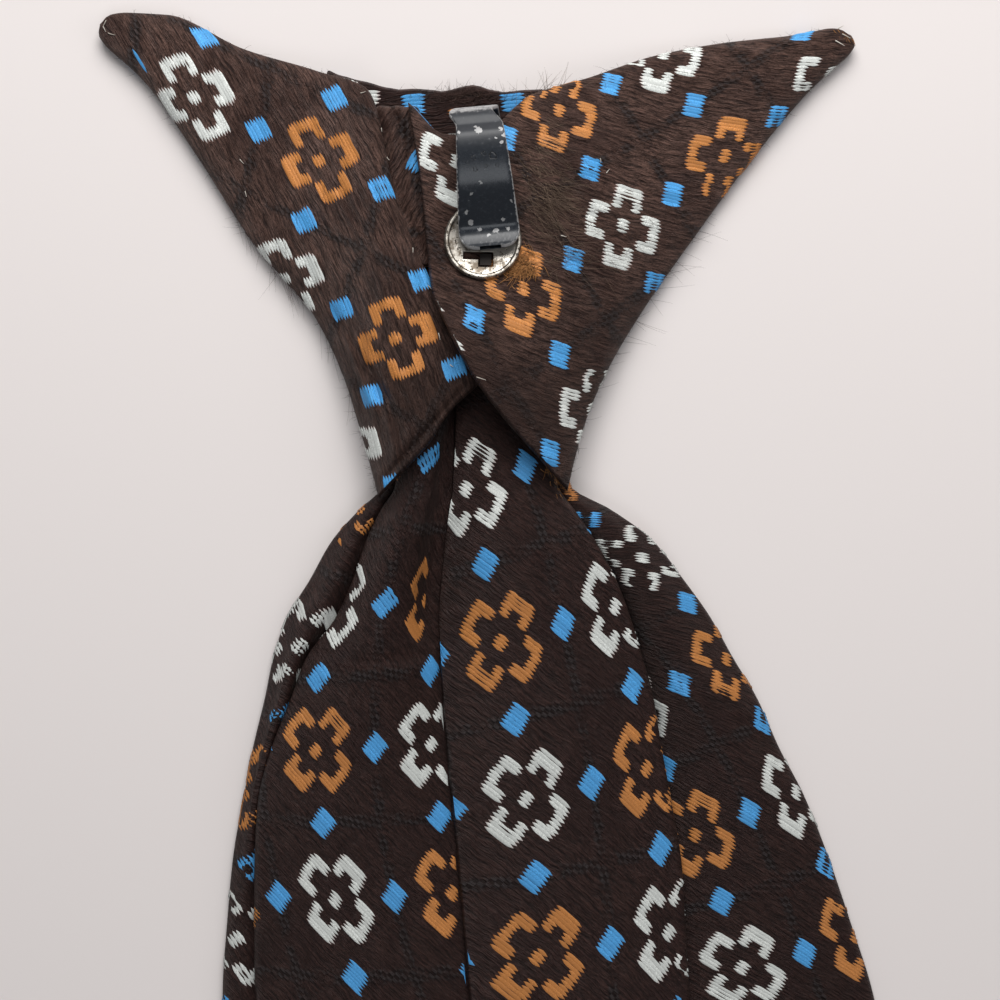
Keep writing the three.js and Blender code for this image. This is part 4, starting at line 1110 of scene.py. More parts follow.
def unrolled(top):
    """Flat places of a wing's cloth: each point of its plan is moved out from the wing's middle
    line by as much as the way there over the padding is longer than the level way."""
    step = np.diff(top, axis=1)
    extra = np.linalg.norm(step, axis=-1) - np.linalg.norm(step[..., :2], axis=-1)
    run = np.pad(np.cumsum(extra, axis=1), ((0, 0), (1, 0)))
    run = run - run[:, WING_CROSS // 2, None]
    return top[..., :2] + unit(np.gradient(top[..., :2], axis=1)) * run[..., None]


def right_bumps(x, y):
    """The dent that the disc presses into the right wing, and the ridge beside the strip."""
    dent = DISC_DENT * hump(x, y, DISC_X, DISC_Y, DISC_DENT_RADIUS)
    return RIDGE_HEIGHT * hump(x, y, 0.22 * HALF_SPAN, 0.8 * KNOT_HEIGHT, RIDGE_RADIUS) - dent


LEFT_WING_CREASES = [
    (150, 70, 300, 300, 0.3, 22),
    (290, 300, 350, 400, -0.6, 4),
    (300, 292, 362, 398, 0.4, 5),
    (316, 285, 372, 372, -0.5, 4),
    (340, 330, 376, 420, 0.4, 6),
    (362, 330, 400, 440, -0.5, 5),
    (385, 400, 400, 470, 0.35, 7),
    (360, 400, 376, 470, -0.4, 5),
    (250, 200, 330, 330, -0.25, 10),
    (170, 100, 250, 240, -0.2, 9),
    (400, 250, 440, 330, 0.3, 14),
    (380, 110, 400, 200, 0.3, 10),
    (464, 388, 386, 478, -0.55, 3.5),
    (470, 372, 385, 462, 0.3, 7),
    (352, 100, 372, 180, -0.35, 5),
    (380, 108, 394, 190, -1.3, 4),
    (394, 190, 426, 288, -1.3, 4.5),
    (330, 300, 362, 400, -0.7, 4),
    (345, 290, 384, 420, -0.7, 4.5),
    (372, 190, 412, 300, -0.35, 5),
    (240, 130, 330, 150, -0.25, 12),
    (300, 180, 380, 260, 0.3, 16),
]
RIGHT_WING_CREASES = [
    (566, 158, 576, 204, -0.8, 6),
    (600, 130, 590, 190, 0.45, 13),
    (540, 190, 586, 165, 0.3, 8),
    (545, 235, 640, 330, -0.25, 12),
    (470, 290, 520, 330, -0.3, 12),
    (450, 330, 566, 470, 0.35, 12),
    (600, 330, 580, 440, -0.3, 9),
    (620, 300, 600, 400, 0.25, 10),
    (640, 120, 700, 210, -0.25, 12),
    (700, 100, 780, 60, 0.2, 14),
    (436, 130, 440, 220, 0.25, 8),
    (486, 380, 556, 456, -0.4, 4),
    (500, 300, 470, 370, -0.3, 9),
    (545, 300, 530, 400, 0.3, 12),
    (590, 205, 640, 262, -0.3, 8),
    (556, 205, 590, 262, 0.4, 9),
    (540, 210, 556, 262, -0.35, 6),
]


def make_wing(name, rows, root_rows, bumps, pressed, seed, reading):
    """A wing, and its two skins as stretches that carry figures."""
    top, under, flat = wing_grids(rows, root_rows, bumps, pressed, seed, reading)
    chart, _, _ = weave_chart(reading, seen(top), flat, 2)
    uv = chart(flat)
    beside = ((0, 0), (1, 1), (0, 0))
    add_stretch(with_rim(top, under)[1:-1], np.pad(facing(top, 1), beside, mode="edge"),
                np.pad(uv, beside, mode="reflect", reflect_type="odd"))
    add_stretch(under, facing(under, -1), uv)
    return make_wall(name, top, under, uv / 4, uv / 4), top


FACE_STATIONS = 60
RIM_STATIONS = 4
# The rim's unevenness, and where it is pushed up: place across, place along and radius
RIM_LUMPS = 0.4
RIM_WAVES = 7.0
RIM_PUSH = 0.8
RIM_PUSHED = (-1.9, 0, 3.4)
RIM_FLOWER = (-16.9, 36.3)
RIM_TURN = math.radians(4.7)
TUCK_FLOWER = (-21.9, 49.2)


def make_face():
    """The front of the knot, face down, its sides and top curling off the table."""
    at = np.linspace(FACE_ROWS[0][0], FACE_ROWS[-1][0], FACE_STATIONS)[:, None]
    u = bunched(FACE_STATIONS)[None, :]
    row = table_curves(FACE_COLUMNS, FACE_ROWS, [r[0] for r in FACE_ROWS], at)
    side = np.abs(2 * u - 1)
    x = HALF_SPAN * mix(row["left"], row["right"], u)
    y = KNOT_HEIGHT * (at + FACE_TOP_SWEEP * side ** 3 * smooth(0.6, 1, at))
    lumps = RIM_LUMPS * ripple(x, 0 * x, 63, RIM_WAVES) + RIM_PUSH * hump(x, 0, *RIM_PUSHED)
    y = y + lumps * smooth(0.85, 1.02, at)
    side_curl = row["side_curl"] * smooth(0.6, 1, side)
    curl = FACE_WALL * (row["top_curl"] * (1 - 0.3 * side) + side_curl)
    under = np.stack([x, y, curl], axis=-1)
    top = np.stack([x, y, curl + FACE_WALL * (1 - 0.3 * side ** 4)], axis=-1)
    top_uv = rigid_weave(top[..., :2], RIM_FLOWER, RIM_TURN)
    under_uv = rigid_weave(under[..., :2], (0.0, 0.5 * KNOT_HEIGHT), math.radians(45), mirrored=True)
    add_stretch(under, facing(under, -1), under_uv)
    rim = slice(-RIM_STATIONS, None)
    add_stretch(top[rim], facing(top, 1)[rim], top_uv[rim])
    return make_wall("knot_front", top, under, top_uv / 4, under_uv / 4), top


def make_tuck():
    """The narrow tuck beside the clip: a low swell between its two edges."""
    rows, columns = 40, 16
    at = np.linspace(TUCK_ROWS[0][0], TUCK_ROWS[-1][0], rows)[:, None]
    u = np.linspace(0, 1, columns)[None, :]
    row = table_curves(TUCK_COLUMNS, TUCK_ROWS, [r[0] for r in TUCK_ROWS], at)
    x = mix(row["left"], row["right"], u) * HALF_SPAN
    y = at * KNOT_HEIGHT + 0 * u
    under = np.stack([x, y, WING_SEAT + 0 * x], axis=-1)
    gathers = 0.45 * np.sin(2 * math.pi * (2.4 * u + 0.35 * np.sin(0.31 * y)))
    gathers = gathers + 0.2 * ripple(x, y, 61, 5.0)
    edge = (2 * u - 1) ** 4
    top = np.stack([x, y, TUCK_TOP - 0.5 * edge + gathers * (1 - edge)], axis=-1)
    uv = 2 + rigid_weave(top[..., :2], TUCK_FLOWER, math.radians(60))
    add_stretch(top, facing(top, 1), uv)
    return make_wall("knot_tuck_cloth", top, under, uv / 4, uv / 4)


def make_floats(name, kind, seed):
    """All the floats of one colour on every stretch of cloth, as one piece."""
    rng = np.random.default_rng(seed)
    parts = [float_threads(g, n, uv, kind, rng) for g, n, uv in CLOTH_STRETCHES]
    points = np.concatenate([p for p, _ in parts])
    uvs = np.concatenate([u for _, u in parts])
    count = len(points)
    one = quads_of(np.arange(FLOAT_POINTS).reshape(FLOAT_STATIONS, 3))
    faces = (one[None] + FLOAT_POINTS * np.arange(count)[:, None, None]).reshape(-1, 4)
    return put_mesh(name, points, faces, uvs)


# The clip

STRIP_STATIONS = 220
STRIP_CORNER = 0.22
STRIP_HIGH = 11.0
STRIP_WIDTH_TOP = 6.5
STRIP_WIDTH_END = 10.0
STRIP_END_ROUND = 3.3
STRIP_TWIST = 2.2
TWIST_REACH = (0.84, 1.02)
# Chips and rings in the strip's paint: middle in the picture, radius in millimetres, and how much
# bare metal shows in the middle
STRIP_MARKS = [
    (479, 138, 0.62, 1), (476, 134, 0.3, 1), (460, 140, 0.3, 1), (501, 136, 0.34, 1),
    (504, 143, 0.38, 1), (501, 150, 0.3, 1), (496, 146, 0.22, 1), (474, 165, 0.42, 0),
    (484, 161, 0.34, 0), (493, 163, 0.62, 0), (476, 176, 0.45, 0), (486, 173, 0.3, 0),
    (497, 172, 0.28, 0), (468, 170, 0.24, 0), (481, 188, 0.22, 0.6), (472, 199, 0.2, 0.6),
    (467, 216, 0.3, 0.8), (471, 225, 0.45, 0.8), (480, 231, 0.3, 0.8), (496, 233, 0.42, 0.8),
    (503, 222, 0.3, 0.8), (489, 237, 0.3, 0.8), (508, 231, 0.3, 0.8), (511, 205, 0.22, 0.7),
]


def strip_line():
    """Side line of the spring strip, y from the disc's middle and z above its rim: from the end
    inside the knot, round the top bend, over the crest and down to the bite."""
    tuck_drop = STRIP_BOTTOM - LEG_HEIGHT
    top = CLIP_LENGTH
    bend = 0.5 * (CLIP_RISE * 0.75 + tuck_drop)
    middle = CLIP_RISE * 0.75 - bend
    bend_centre = top - 0.62 * bend
    angle = -math.pi / 2 + math.pi * np.arange(7) / 6
    turn_y = bend_centre + 0.62 * bend * np.cos(angle)
    turn = np.stack([turn_y, middle + bend * np.sin(angle)], axis=-1)
    leg = [(top - CLIP_LEG, -tuck_drop), (top - 0.62 * CLIP_LEG, -tuck_drop)]
    crest = [
        (0.78 * top, CLIP_RISE), (0.62 * top, 0.97 * CLIP_RISE), (0.45 * top, 0.78 * CLIP_RISE),
        (0.29 * top, 0.4 * CLIP_RISE), (0.17 * top, 0.09 * CLIP_RISE), (0.1 * top, 0.05 * CLIP_RISE),
        (0.03 * top, 0.14 * CLIP_RISE), (0, 0.26 * CLIP_RISE),
    ]
    return np.concatenate([leg, turn, crest])


def make_strip():
    """The spring strip: a flat section with round corners carried along its side line, wider
    towards the bite, where its end is rounded."""
    line = smooth_path(strip_line()[None], 24)[0]
    run = np.concatenate([[0], np.cumsum(np.linalg.norm(np.diff(line, axis=0), axis=-1))])
    share = 1 - (1 - np.linspace(0, 1, STRIP_STATIONS)) ** 1.5
    y = np.interp(share * run[-1], run, line[:, 0])
    z = np.interp(share * run[-1], run, line[:, 1])
    tangent = unit(np.stack([np.gradient(y), np.gradient(z)], axis=-1))
    from_end = (1 - share) * run[-1]
    missing = np.clip(STRIP_END_ROUND - from_end, 0, None)
    narrowing = STRIP_END_ROUND - np.sqrt(np.clip(STRIP_END_ROUND ** 2 - missing ** 2, 0, None))
    down = np.clip(1 - y / CLIP_LENGTH, 0, 1)
    half = 0.5 * mix(STRIP_WIDTH_TOP, STRIP_WIDTH_END, down ** 0.75) - narrowing
    risen = smooth(0.0, CLIP_RISE, z + 0.2 * CLIP_RISE)
    aside = -STRIP_TWIST * smooth(*TWIST_REACH, y / CLIP_LENGTH) * risen
    thick = 0.5 * CLIP_STOCK
    arc = np.linspace(0, math.pi / 2, 4)
    corner_x = STRIP_CORNER * np.sin(arc)
    corner_z = STRIP_CORNER * np.cos(arc)
    flat = np.linspace(-1, 1, 13)[1:-1]
    inset = half[:, None] - STRIP_CORNER
    corner_z = thick - STRIP_CORNER + corner_z
    across_parts, high_parts = [], []
    for side in (1, -1):
        across_parts += [
            side * flat * inset, side * (inset + corner_x), side * (inset + corner_x[::-1])]
        high_parts += [np.full(len(flat), side * thick), side * corner_z, -side * corner_z[::-1]]
    across = np.concatenate(across_parts, axis=1)
    high = np.broadcast_to(np.concatenate(high_parts), across.shape)
    ny, nz = -tangent[:, 1:], tangent[:, :1]
    plan = np.stack([across + aside[:, None], y[:, None] + high * ny], axis=-1)
    rise = (z[:, None] + high * nz)[..., None]
    turned = np.concatenate([on_axes(plan, -CLIP_LEAN), rise], axis=-1)
    turned += np.array([DISC_X + CLIP_END_X, DISC_Y + CLIP_END_Y, STRIP_BOTTOM])
    around = across.shape[1]
    ends = turned[[0, -1]].mean(1)
    index = np.arange(STRIP_STATIONS * around).reshape(STRIP_STATIONS, around)
    faces = quads_of(np.concatenate([index, index[:, :1]], axis=1))[:, ::-1]
    fan = []
    for row, pole, flip in ((index[0], index.size, False), (index[-1], index.size + 1, True)):
        nxt = np.roll(row, -1)
        cap = np.stack([row, nxt, np.full(around, pole), np.full(around, pole)], axis=-1)
        fan.append(cap[:, ::-1] if flip else cap)
    points = np.concatenate([turned.reshape(-1, 3), ends])
    width_share = across / np.maximum(half[:, None], 0.1)
    uv = np.stack([np.broadcast_to(from_end[:, None] / 10, across.shape), width_share], axis=-1)
    uv = np.concatenate([uv.reshape(-1, 2), [[run[-1] / 10, 0.0], [0.0, 0.0]]])
    every = np.concatenate([faces] + fan)
    if inside_out(points, every):
        every = every[:, ::-1]
    return put_mesh("spring_strip", points, every, uv, layer_name="Strip")


# Width of the button's rounded edges, and how near two of its corners are one, in metres
BUTTON_EDGE = 0.00008
SAME_CORNER = 2e-6


def make_button():
    """The pressed metal button, from its node's own shape: doubles merged, edges rounded."""
    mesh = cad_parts["clip_disc"].data.copy()
    mesh.name = "nickel_button"
    work = bmesh.new()
    work.from_mesh(mesh)
    bmesh.ops.remove_doubles(work, verts=work.verts, dist=SAME_CORNER)
    work.to_mesh(mesh)
    work.free()
    mesh.polygons.foreach_set("use_smooth", np.ones(len(mesh.polygons), bool))
    mesh.set_sharp_from_angle(angle=math.radians(32))
    mesh.materials.clear()
    piece = put_in_scene("nickel_button", mesh)
    soften = piece.modifiers.new("worn_edges", "BEVEL")
    soften.width = BUTTON_EDGE
    soften.segments = 2
    soften.limit_method = "ANGLE"
    soften.angle_limit = math.radians(40)
    return piece


# Loose threads

# How much thinner a fibre is at its free end, and an axis that hardly any fibre lies along
HAIR_TAPER = 0.65
ODD_AXIS = np.array([0.13, 0.31, 0.94])


def make_hairs(name, roots, heads, bends, radius, parts=7):
    """Loose fibres: three-sided threads, each along root + head t + bend t squared, tapering
    towards its free end."""
    t = np.linspace(0, 1, parts)[None, :, None]
    line = roots[:, None] + heads[:, None] * t + bends[:, None] * t ** 2
    along = unit(heads[:, None] + 2 * bends[:, None] * t)
    side = unit(np.cross(along, ODD_AXIS))
    other = np.cross(along, side)
    thin = radius * (1 - HAIR_TAPER * t[..., None])
    angle = 2 * math.pi * np.arange(3) / 3
    ring = side[:, :, None] * np.cos(angle)[:, None] + other[:, :, None] * np.sin(angle)[:, None]
    points = line[:, :, None] + thin * ring
    count = len(roots)
    one = quads_of(np.arange(parts * 3).reshape(parts, 3)[:, [0, 1, 2, 0]])
    faces = (one[None] + 3 * parts * np.arange(count)[:, None, None]).reshape(-1, 4)
    shade = np.random.default_rng(7).uniform(0, 1, (count, 1, 1))
    uv = np.stack([np.broadcast_to(value, (count, parts, 3)) for value in (t, shade)], axis=-1)
    return put_mesh(name, points, faces, uv)


def spot_on(grid, picture):
    """Row and column of the grid's point that is seen nearest to each place in the picture."""
    flat = seen(grid).reshape(-1, 2)
    return np.array([divmod(nearest(flat, p), grid.shape[1]) for p in picture])


def scatter(rng, count, middle, reach):
    """Places in the picture, thick near the middle and thinning out to its reach."""
    return np.asarray(middle, float) + rng.normal(0, 0.5, (count, 2)) * np.asarray(reach, float)


def flat_heads(rng, count, angle, spread, short, long):
    """Headings in the plane of the table, about an angle in degrees and a range of lengths."""
    turn = np.radians(angle + rng.normal(0, spread, count))
    size = rng.uniform(short, long, count)
    return np.stack([np.cos(turn) * size, np.sin(turn) * size, np.zeros(count)], axis=-1)


def napped(rng, grid, count, middle, reach, angle, spread, short, long, rise):
    """Fibres lying on a stretch of cloth about a place: they lie along one heading, rise a little
    and turn back down."""
    ij = spot_on(grid, scatter(rng, count, middle, reach))
    roots = grid[ij[:, 0], ij[:, 1]] + np.array([0, 0, 0.05])
    heads = flat_heads(rng, count, angle, spread, short, long)
    heads[:, 2] = rng.uniform(0.3, 1.0, count) * rise
    bends = flat_heads(rng, count, angle + 90, 60, 0, 0.6) * rng.choice([-1, 1], (count, 1))
    bends[:, 2] = -heads[:, 2] * rng.uniform(0.6, 1.1, count)
    return roots, heads, bends


def edge_fuzz(rng, grid, count, side, short, long):
    """Short fibres that stand out from one long edge of a wing."""
    i = rng.integers(6, grid.shape[0] - 4, count)
    j = np.full(count, 0 if side == "upper" else grid.shape[1] - 1)
    inward = grid[i, np.where(j == 0, 3, grid.shape[1] - 4)] - grid[i, j]
    out = -unit(inward * np.array([1, 1, 0]))
    tangent = np.stack([-out[:, 1], out[:, 0], out[:, 2]], axis=-1)
    size = rng.uniform(short, long, (count, 1)) * rng.uniform(0.3, 1, (count, 1))
    heads = size * (out * rng.uniform(0.3, 1, (count, 1)) + tangent * rng.normal(0, 0.8, (count, 1)))
    heads[:, 2] += rng.uniform(-0.2, 0.5, count) * size[:, 0]
    bends = tangent * rng.normal(0, 0.7, (count, 1)) * size
    return grid[i, j] + np.array([0, 0, -0.2]), heads, bends


# Loose and sewing threads: start in the picture, then how far right and down, in pixels
LEFT_THREADS = [
    (427, 285, 5, 4), (437, 333, 2, 5), (450, 364, 3, 3), (361, 94, 6, -1), (106, 20, -3, 6),
    (104, 27, 2, 5), (108, 33, 5, 3), (413, 248, 1, 5), (409, 124, 1, 4), (240, 160, 4, 5),
    (245, 190, 2, 6), (397, 155, 3, 5),
]
RIGHT_THREADS = [
    (470, 384, 10, 3), (600, 160, 2, 5), (838, 27, 5, -3), (842, 34, 8, 4), (836, 40, 9, 5),
    (605, 172, 3, -4), (560, 236, 5, 2),
]
# Cut ends of the orange and tan threads at the right wing's tip, in the same columns
RAW_END = [
    (834, 30, 6, 8), (838, 30, 6, 9), (842, 32, 6, 9), (846, 34, 5, 9), (850, 36, 4, 8),
    (853, 39, 3, 7),
]


def stitched(rng, grid, table):
    """Threads that lie on the cloth between two places in the picture."""
    rows = np.array(table, float)
    ij = spot_on(grid, rows[:, :2])
    roots = grid[ij[:, 0], ij[:, 1]] + np.array([0, 0, 0.12])
    rise = 0.8 * rng.uniform(0, 1, len(rows))
    heads = np.stack([rows[:, 2], -rows[:, 3], rise], axis=-1) / PIXELS_PER_MM
    bends = rng.normal(0, 0.12, heads.shape)
    return roots, heads, bends


def gathered(sets):
    """Roots, heads and bends of several sets of fibres, each joined into one."""
    return tuple(np.concatenate([s[k] for s in sets]) for k in range(3))


# Materials

def new_material(name):
    """An empty material with its principled shader."""
    material = bpy.data.materials.new(name)
    material.use_nodes = True
    tree = material.node_tree
    tree.nodes.clear()
    out = tree.nodes.new("ShaderNodeOutputMaterial")
    shader = tree.nodes.new("ShaderNodeBsdfPrincipled")
    tree.links.new(shader.outputs["BSDF"], out.inputs["Surface"])
    return material, tree, shader


def feed(tree, socket, value):
    """Links a socket, or sets its own value."""
    if isinstance(value, bpy.types.NodeSocket):
        tree.links.new(value, socket)
    elif value is not None:
        socket.default_value = value


def feed_all(tree, node, values):
    """Feeds several inputs of a node by name."""
    for name, value in values.items():
        feed(tree, node.inputs[name], value)


def calc(tree, operation, a, b=None, c=None):
    """A sum of two or three values, links or numbers."""
    node = tree.nodes.new("ShaderNodeMath")
    node.operation = operation
    for socket, value in zip(node.inputs, (a, b, c)):
        feed(tree, socket, value)
    return node.outputs[0]


def times(tree, a, b):
    """One value times another."""
    return calc(tree, "MULTIPLY", a, b)


def times_add(tree, a, b, c):
    """One value times another, and a third added."""
    return calc(tree, "MULTIPLY_ADD", a, b, c)


def rest_of(tree, value):
    """What a value leaves of 1."""
    return calc(tree, "SUBTRACT", 1.0, value)


def vector_calc(tree, operation, a, b, output="Vector"):
    """A sum of two vectors."""
    node = tree.nodes.new("ShaderNodeVectorMath")
    node.operation = operation
    feed(tree, node.inputs[0], a)
    feed(tree, node.inputs[1], b)
    return node.outputs[output]


def parts_of(tree, vector):
    """The X, Y and Z of a vector."""
    split = tree.nodes.new("ShaderNodeSeparateXYZ")
    feed(tree, split.inputs[0], vector)
    return split.outputs


def toned(colour, brightness):
    """A colour made so many times as bright, with no channel over 1."""
    return tuple(min(1, brightness * c) for c in colour)


def blend_colour(tree, share, a, b):
    """Colour a where the share is 0, b where it is 1, and a mixture between."""
    node = tree.nodes.new("ShaderNodeMix")
    node.data_type = "RGBA"
    feed(tree, node.inputs["Factor"], share)
    for socket, value in zip([s for s in node.inputs if s.type == "RGBA"], (a, b)):
        feed(tree, socket, value if isinstance(value, bpy.types.NodeSocket) else (*value, 1.0))
    return [s for s in node.outputs if s.type == "RGBA"][0]


def noise(tree, vector, scale, detail=2.0, roughness=0.5):
    """Cloudy noise from 0 to 1, with so many clouds to the unit."""
    node = tree.nodes.new("ShaderNodeTexNoise")
    feed_all(tree, node, {
        "Vector": vector, "Scale": scale, "Detail": detail, "Roughness": roughness})
    return node.outputs["Fac"]


def ramp(tree, value, low, high):
    """Smooth step of a value from 0 at low to 1 at high."""
    node = tree.nodes.new("ShaderNodeMapRange")
    node.interpolation_type = "SMOOTHSTEP"
    feed_all(tree, node, {"Value": value, "From Min": low, "From Max": high})
    return node.outputs["Result"]


def scaled(tree, vector, x, y, z=1.0):
    """A vector with each part multiplied by its own number."""
    node = tree.nodes.new("ShaderNodeMapping")
    feed_all(tree, node, {"Vector": vector, "Scale": (x, y, z)})
    return node.outputs["Vector"]


def surface_uv(tree, layer):
    """Place on a piece's own surface, whole and as its two parts."""
    node = tree.nodes.new("ShaderNodeUVMap")
    node.uv_map = layer
    parts = parts_of(tree, node.outputs["UV"])
    return node.outputs["UV"], parts["X"], parts["Y"]


def object_place(tree):
    """Place in the part's frame, in metres."""
    return tree.nodes.new("ShaderNodeTexCoord").outputs["Object"]


def bump(tree, shader, height, distance, strength):
    """Relief on a surface: a height of 1 stands out by the distance, in metres."""
    node = tree.nodes.new("ShaderNodeBump")
    feed_all(tree, node, {"Strength": strength, "Distance": distance, "Height": height})
    tree.links.new(node.outputs["Normal"], shader.inputs["Normal"])


def trellis(tree, u, v, sway):
    """Broken self-coloured bands half way between the flowers, where the sum or the difference of
    the two weave places is half a repeat: how far a point lies inside a band, and its checks."""
    bands = []
    for operation in ("ADD", "SUBTRACT"):
        across = calc(tree, "FRACT", calc(tree, "ADD", calc(tree, operation, u, v), sway))
        gap = calc(tree, "ABSOLUTE", calc(tree, "SUBTRACT", across, 0.5))
        bands.append(rest_of(tree, ramp(tree, gap, 0.022, 0.06)))
    inside = calc(tree, "MAXIMUM", bands[0], bands[1])
    turn = 2 * math.pi * REPEAT_ROWS
    wide = calc(tree, "SINE", times(tree, u, 0.3 * turn))
    tall = calc(tree, "SINE", times(tree, v, 0.5 * turn))
    checks = ramp(tree, times(tree, wide, tall), -0.3, 0.3)
    return inside, checks


# Up the tie, in metres: where the painted shade for light falling off down the tie is full and where
# it is gone, on the cloth and on the threads
CLOTH_SHADE_FULL_BELOW = 0.172
CLOTH_SHADE_GONE_ABOVE = 0.206
THREADS_SHADE_FULL_BELOW = 0.152
THREADS_SHADE_GONE_ABOVE = 0.2


def painted_falloff_shade(tree, base, colour, shade_fades_from, shade_gone_at, share):
    """Painted shade: the base darkened towards the waist and the blade, for light that falls off down
    the tie, and left as it is towards the wings' tips.
    """
    unshaded = ramp(tree, parts_of(tree, object_place(tree))["Y"], shade_fades_from, shade_gone_at)
    return blend_colour(tree, times(tree, rest_of(tree, unshaded), share), base, toned(colour, 0.35))


def cloth_material(name, colour, worn, falloff_shade_share):
    """Figured satin: streaky threads along the floats, fine ribs across them, checked bands in the
    ground's own colour, slightly lighter, greyer cloth where it is worn, and painted shade that
    darkens it down the tie."""
    material, tree, shader = new_material(name)
    uv, u, v = surface_uv(tree, "Weave")
    place = object_place(tree)
    drift = noise(tree, place, 230.0, 2.0)
    shift = tree.nodes.new("ShaderNodeCombineXYZ")
    feed(tree, shift.inputs["Y"], times(tree, drift, 0.045))
    bent = vector_calc(tree, "ADD", uv, shift.outputs[0])
    locks = noise(tree, scaled(tree, bent, 8.0, 64.0), 1.0, 3.0, 0.62)
    streaks = noise(tree, scaled(tree, bent, 24.0, 230.0), 1.0, 3.0, 0.65)
    pepper = noise(tree, place, 3400.0, 1.0)
    ribs = calc(tree, "SINE", times(tree, v, 2 * math.pi * REPEAT_ROWS))
    sway = times(tree, calc(tree, "SUBTRACT", noise(tree, place, 600.0, 2.0), 0.5), 0.05)
    inside, checks = trellis(tree, u, v, sway)
    patches = noise(tree, place, 90.0, 3.0, 0.55)
    thread = times_add(tree, locks, 0.6, times(tree, streaks, 0.4))
    base = blend_colour(tree, ramp(tree, thread, 0.36, 0.66), toned(colour, 0.28), worn)
    base = blend_colour(tree, times(tree, ramp(tree, patches, 0.4, 0.72), 0.6),
                        base, toned(colour, 0.75))
    base = blend_colour(tree, times(tree, ramp(tree, pepper, 0.53, 0.72), 0.55),
                        base, toned(colour, 0.25))
    checked = blend_colour(tree, checks, toned(colour, 0.12), (0.033, 0.029, 0.03))
    patchy = ramp(tree, noise(tree, place, 330.0, 2.0), 0.34, 0.6)
    seen_band = times(tree, times(tree, inside, 0.75), patchy)
    base = blend_colour(tree, seen_band, base, checked)
    # Painted shade: darker towards the waist and the blade, for the light that falls off down the tie
    base = painted_falloff_shade(tree, base, colour, CLOTH_SHADE_FULL_BELOW, CLOTH_SHADE_GONE_ABOVE, falloff_shade_share)
    feed_all(tree, shader, {
        "Base Color": base, "Roughness": times_add(tree, thread, -0.3, 0.66),
        "Specular IOR Level": 0.2, "Sheen Weight": 0.02, "Sheen Roughness": 0.4,
        "Sheen Tint": (0.75, 0.6, 0.52, 1.0)})
    height = times_add(tree, ribs, 0.05, times(tree, locks, 1.8))
    height = times_add(tree, streaks, 0.8, height)
    height = times_add(tree, times(tree, inside, checks), 0.35, height)
    bump(tree, shader, height, 0.0006, 0.9)
    return material


def hair_material(name, dark, light):
    """Loose fibres, from dark to light, one thread to the next."""
    material, tree, shader = new_material(name)
    _, along, thread = surface_uv(tree, "Weave")
    base = blend_colour(tree, thread, dark, light)
    base = blend_colour(tree, times(tree, along, 0.4), base, light)
    feed_all(tree, shader, {"Base Color": base, "Roughness": 0.6, "Specular IOR Level": 0.2})
    return material


def on_strip(x, y):
    """Place in the part's frame, in metres, of a place in the picture at the strip's height."""
    scale = PIXELS_PER_MM * VIEW_DEPTH / (EYE[2] - STRIP_HIGH)
    right = EYE[0] + (x - 0.5 * PICTURE) / scale + WAIST[0]
    up = EYE[1] - (y - 0.5 * PICTURE) / scale + WAIST[1]
    return right * METRES, up * METRES, 0.0


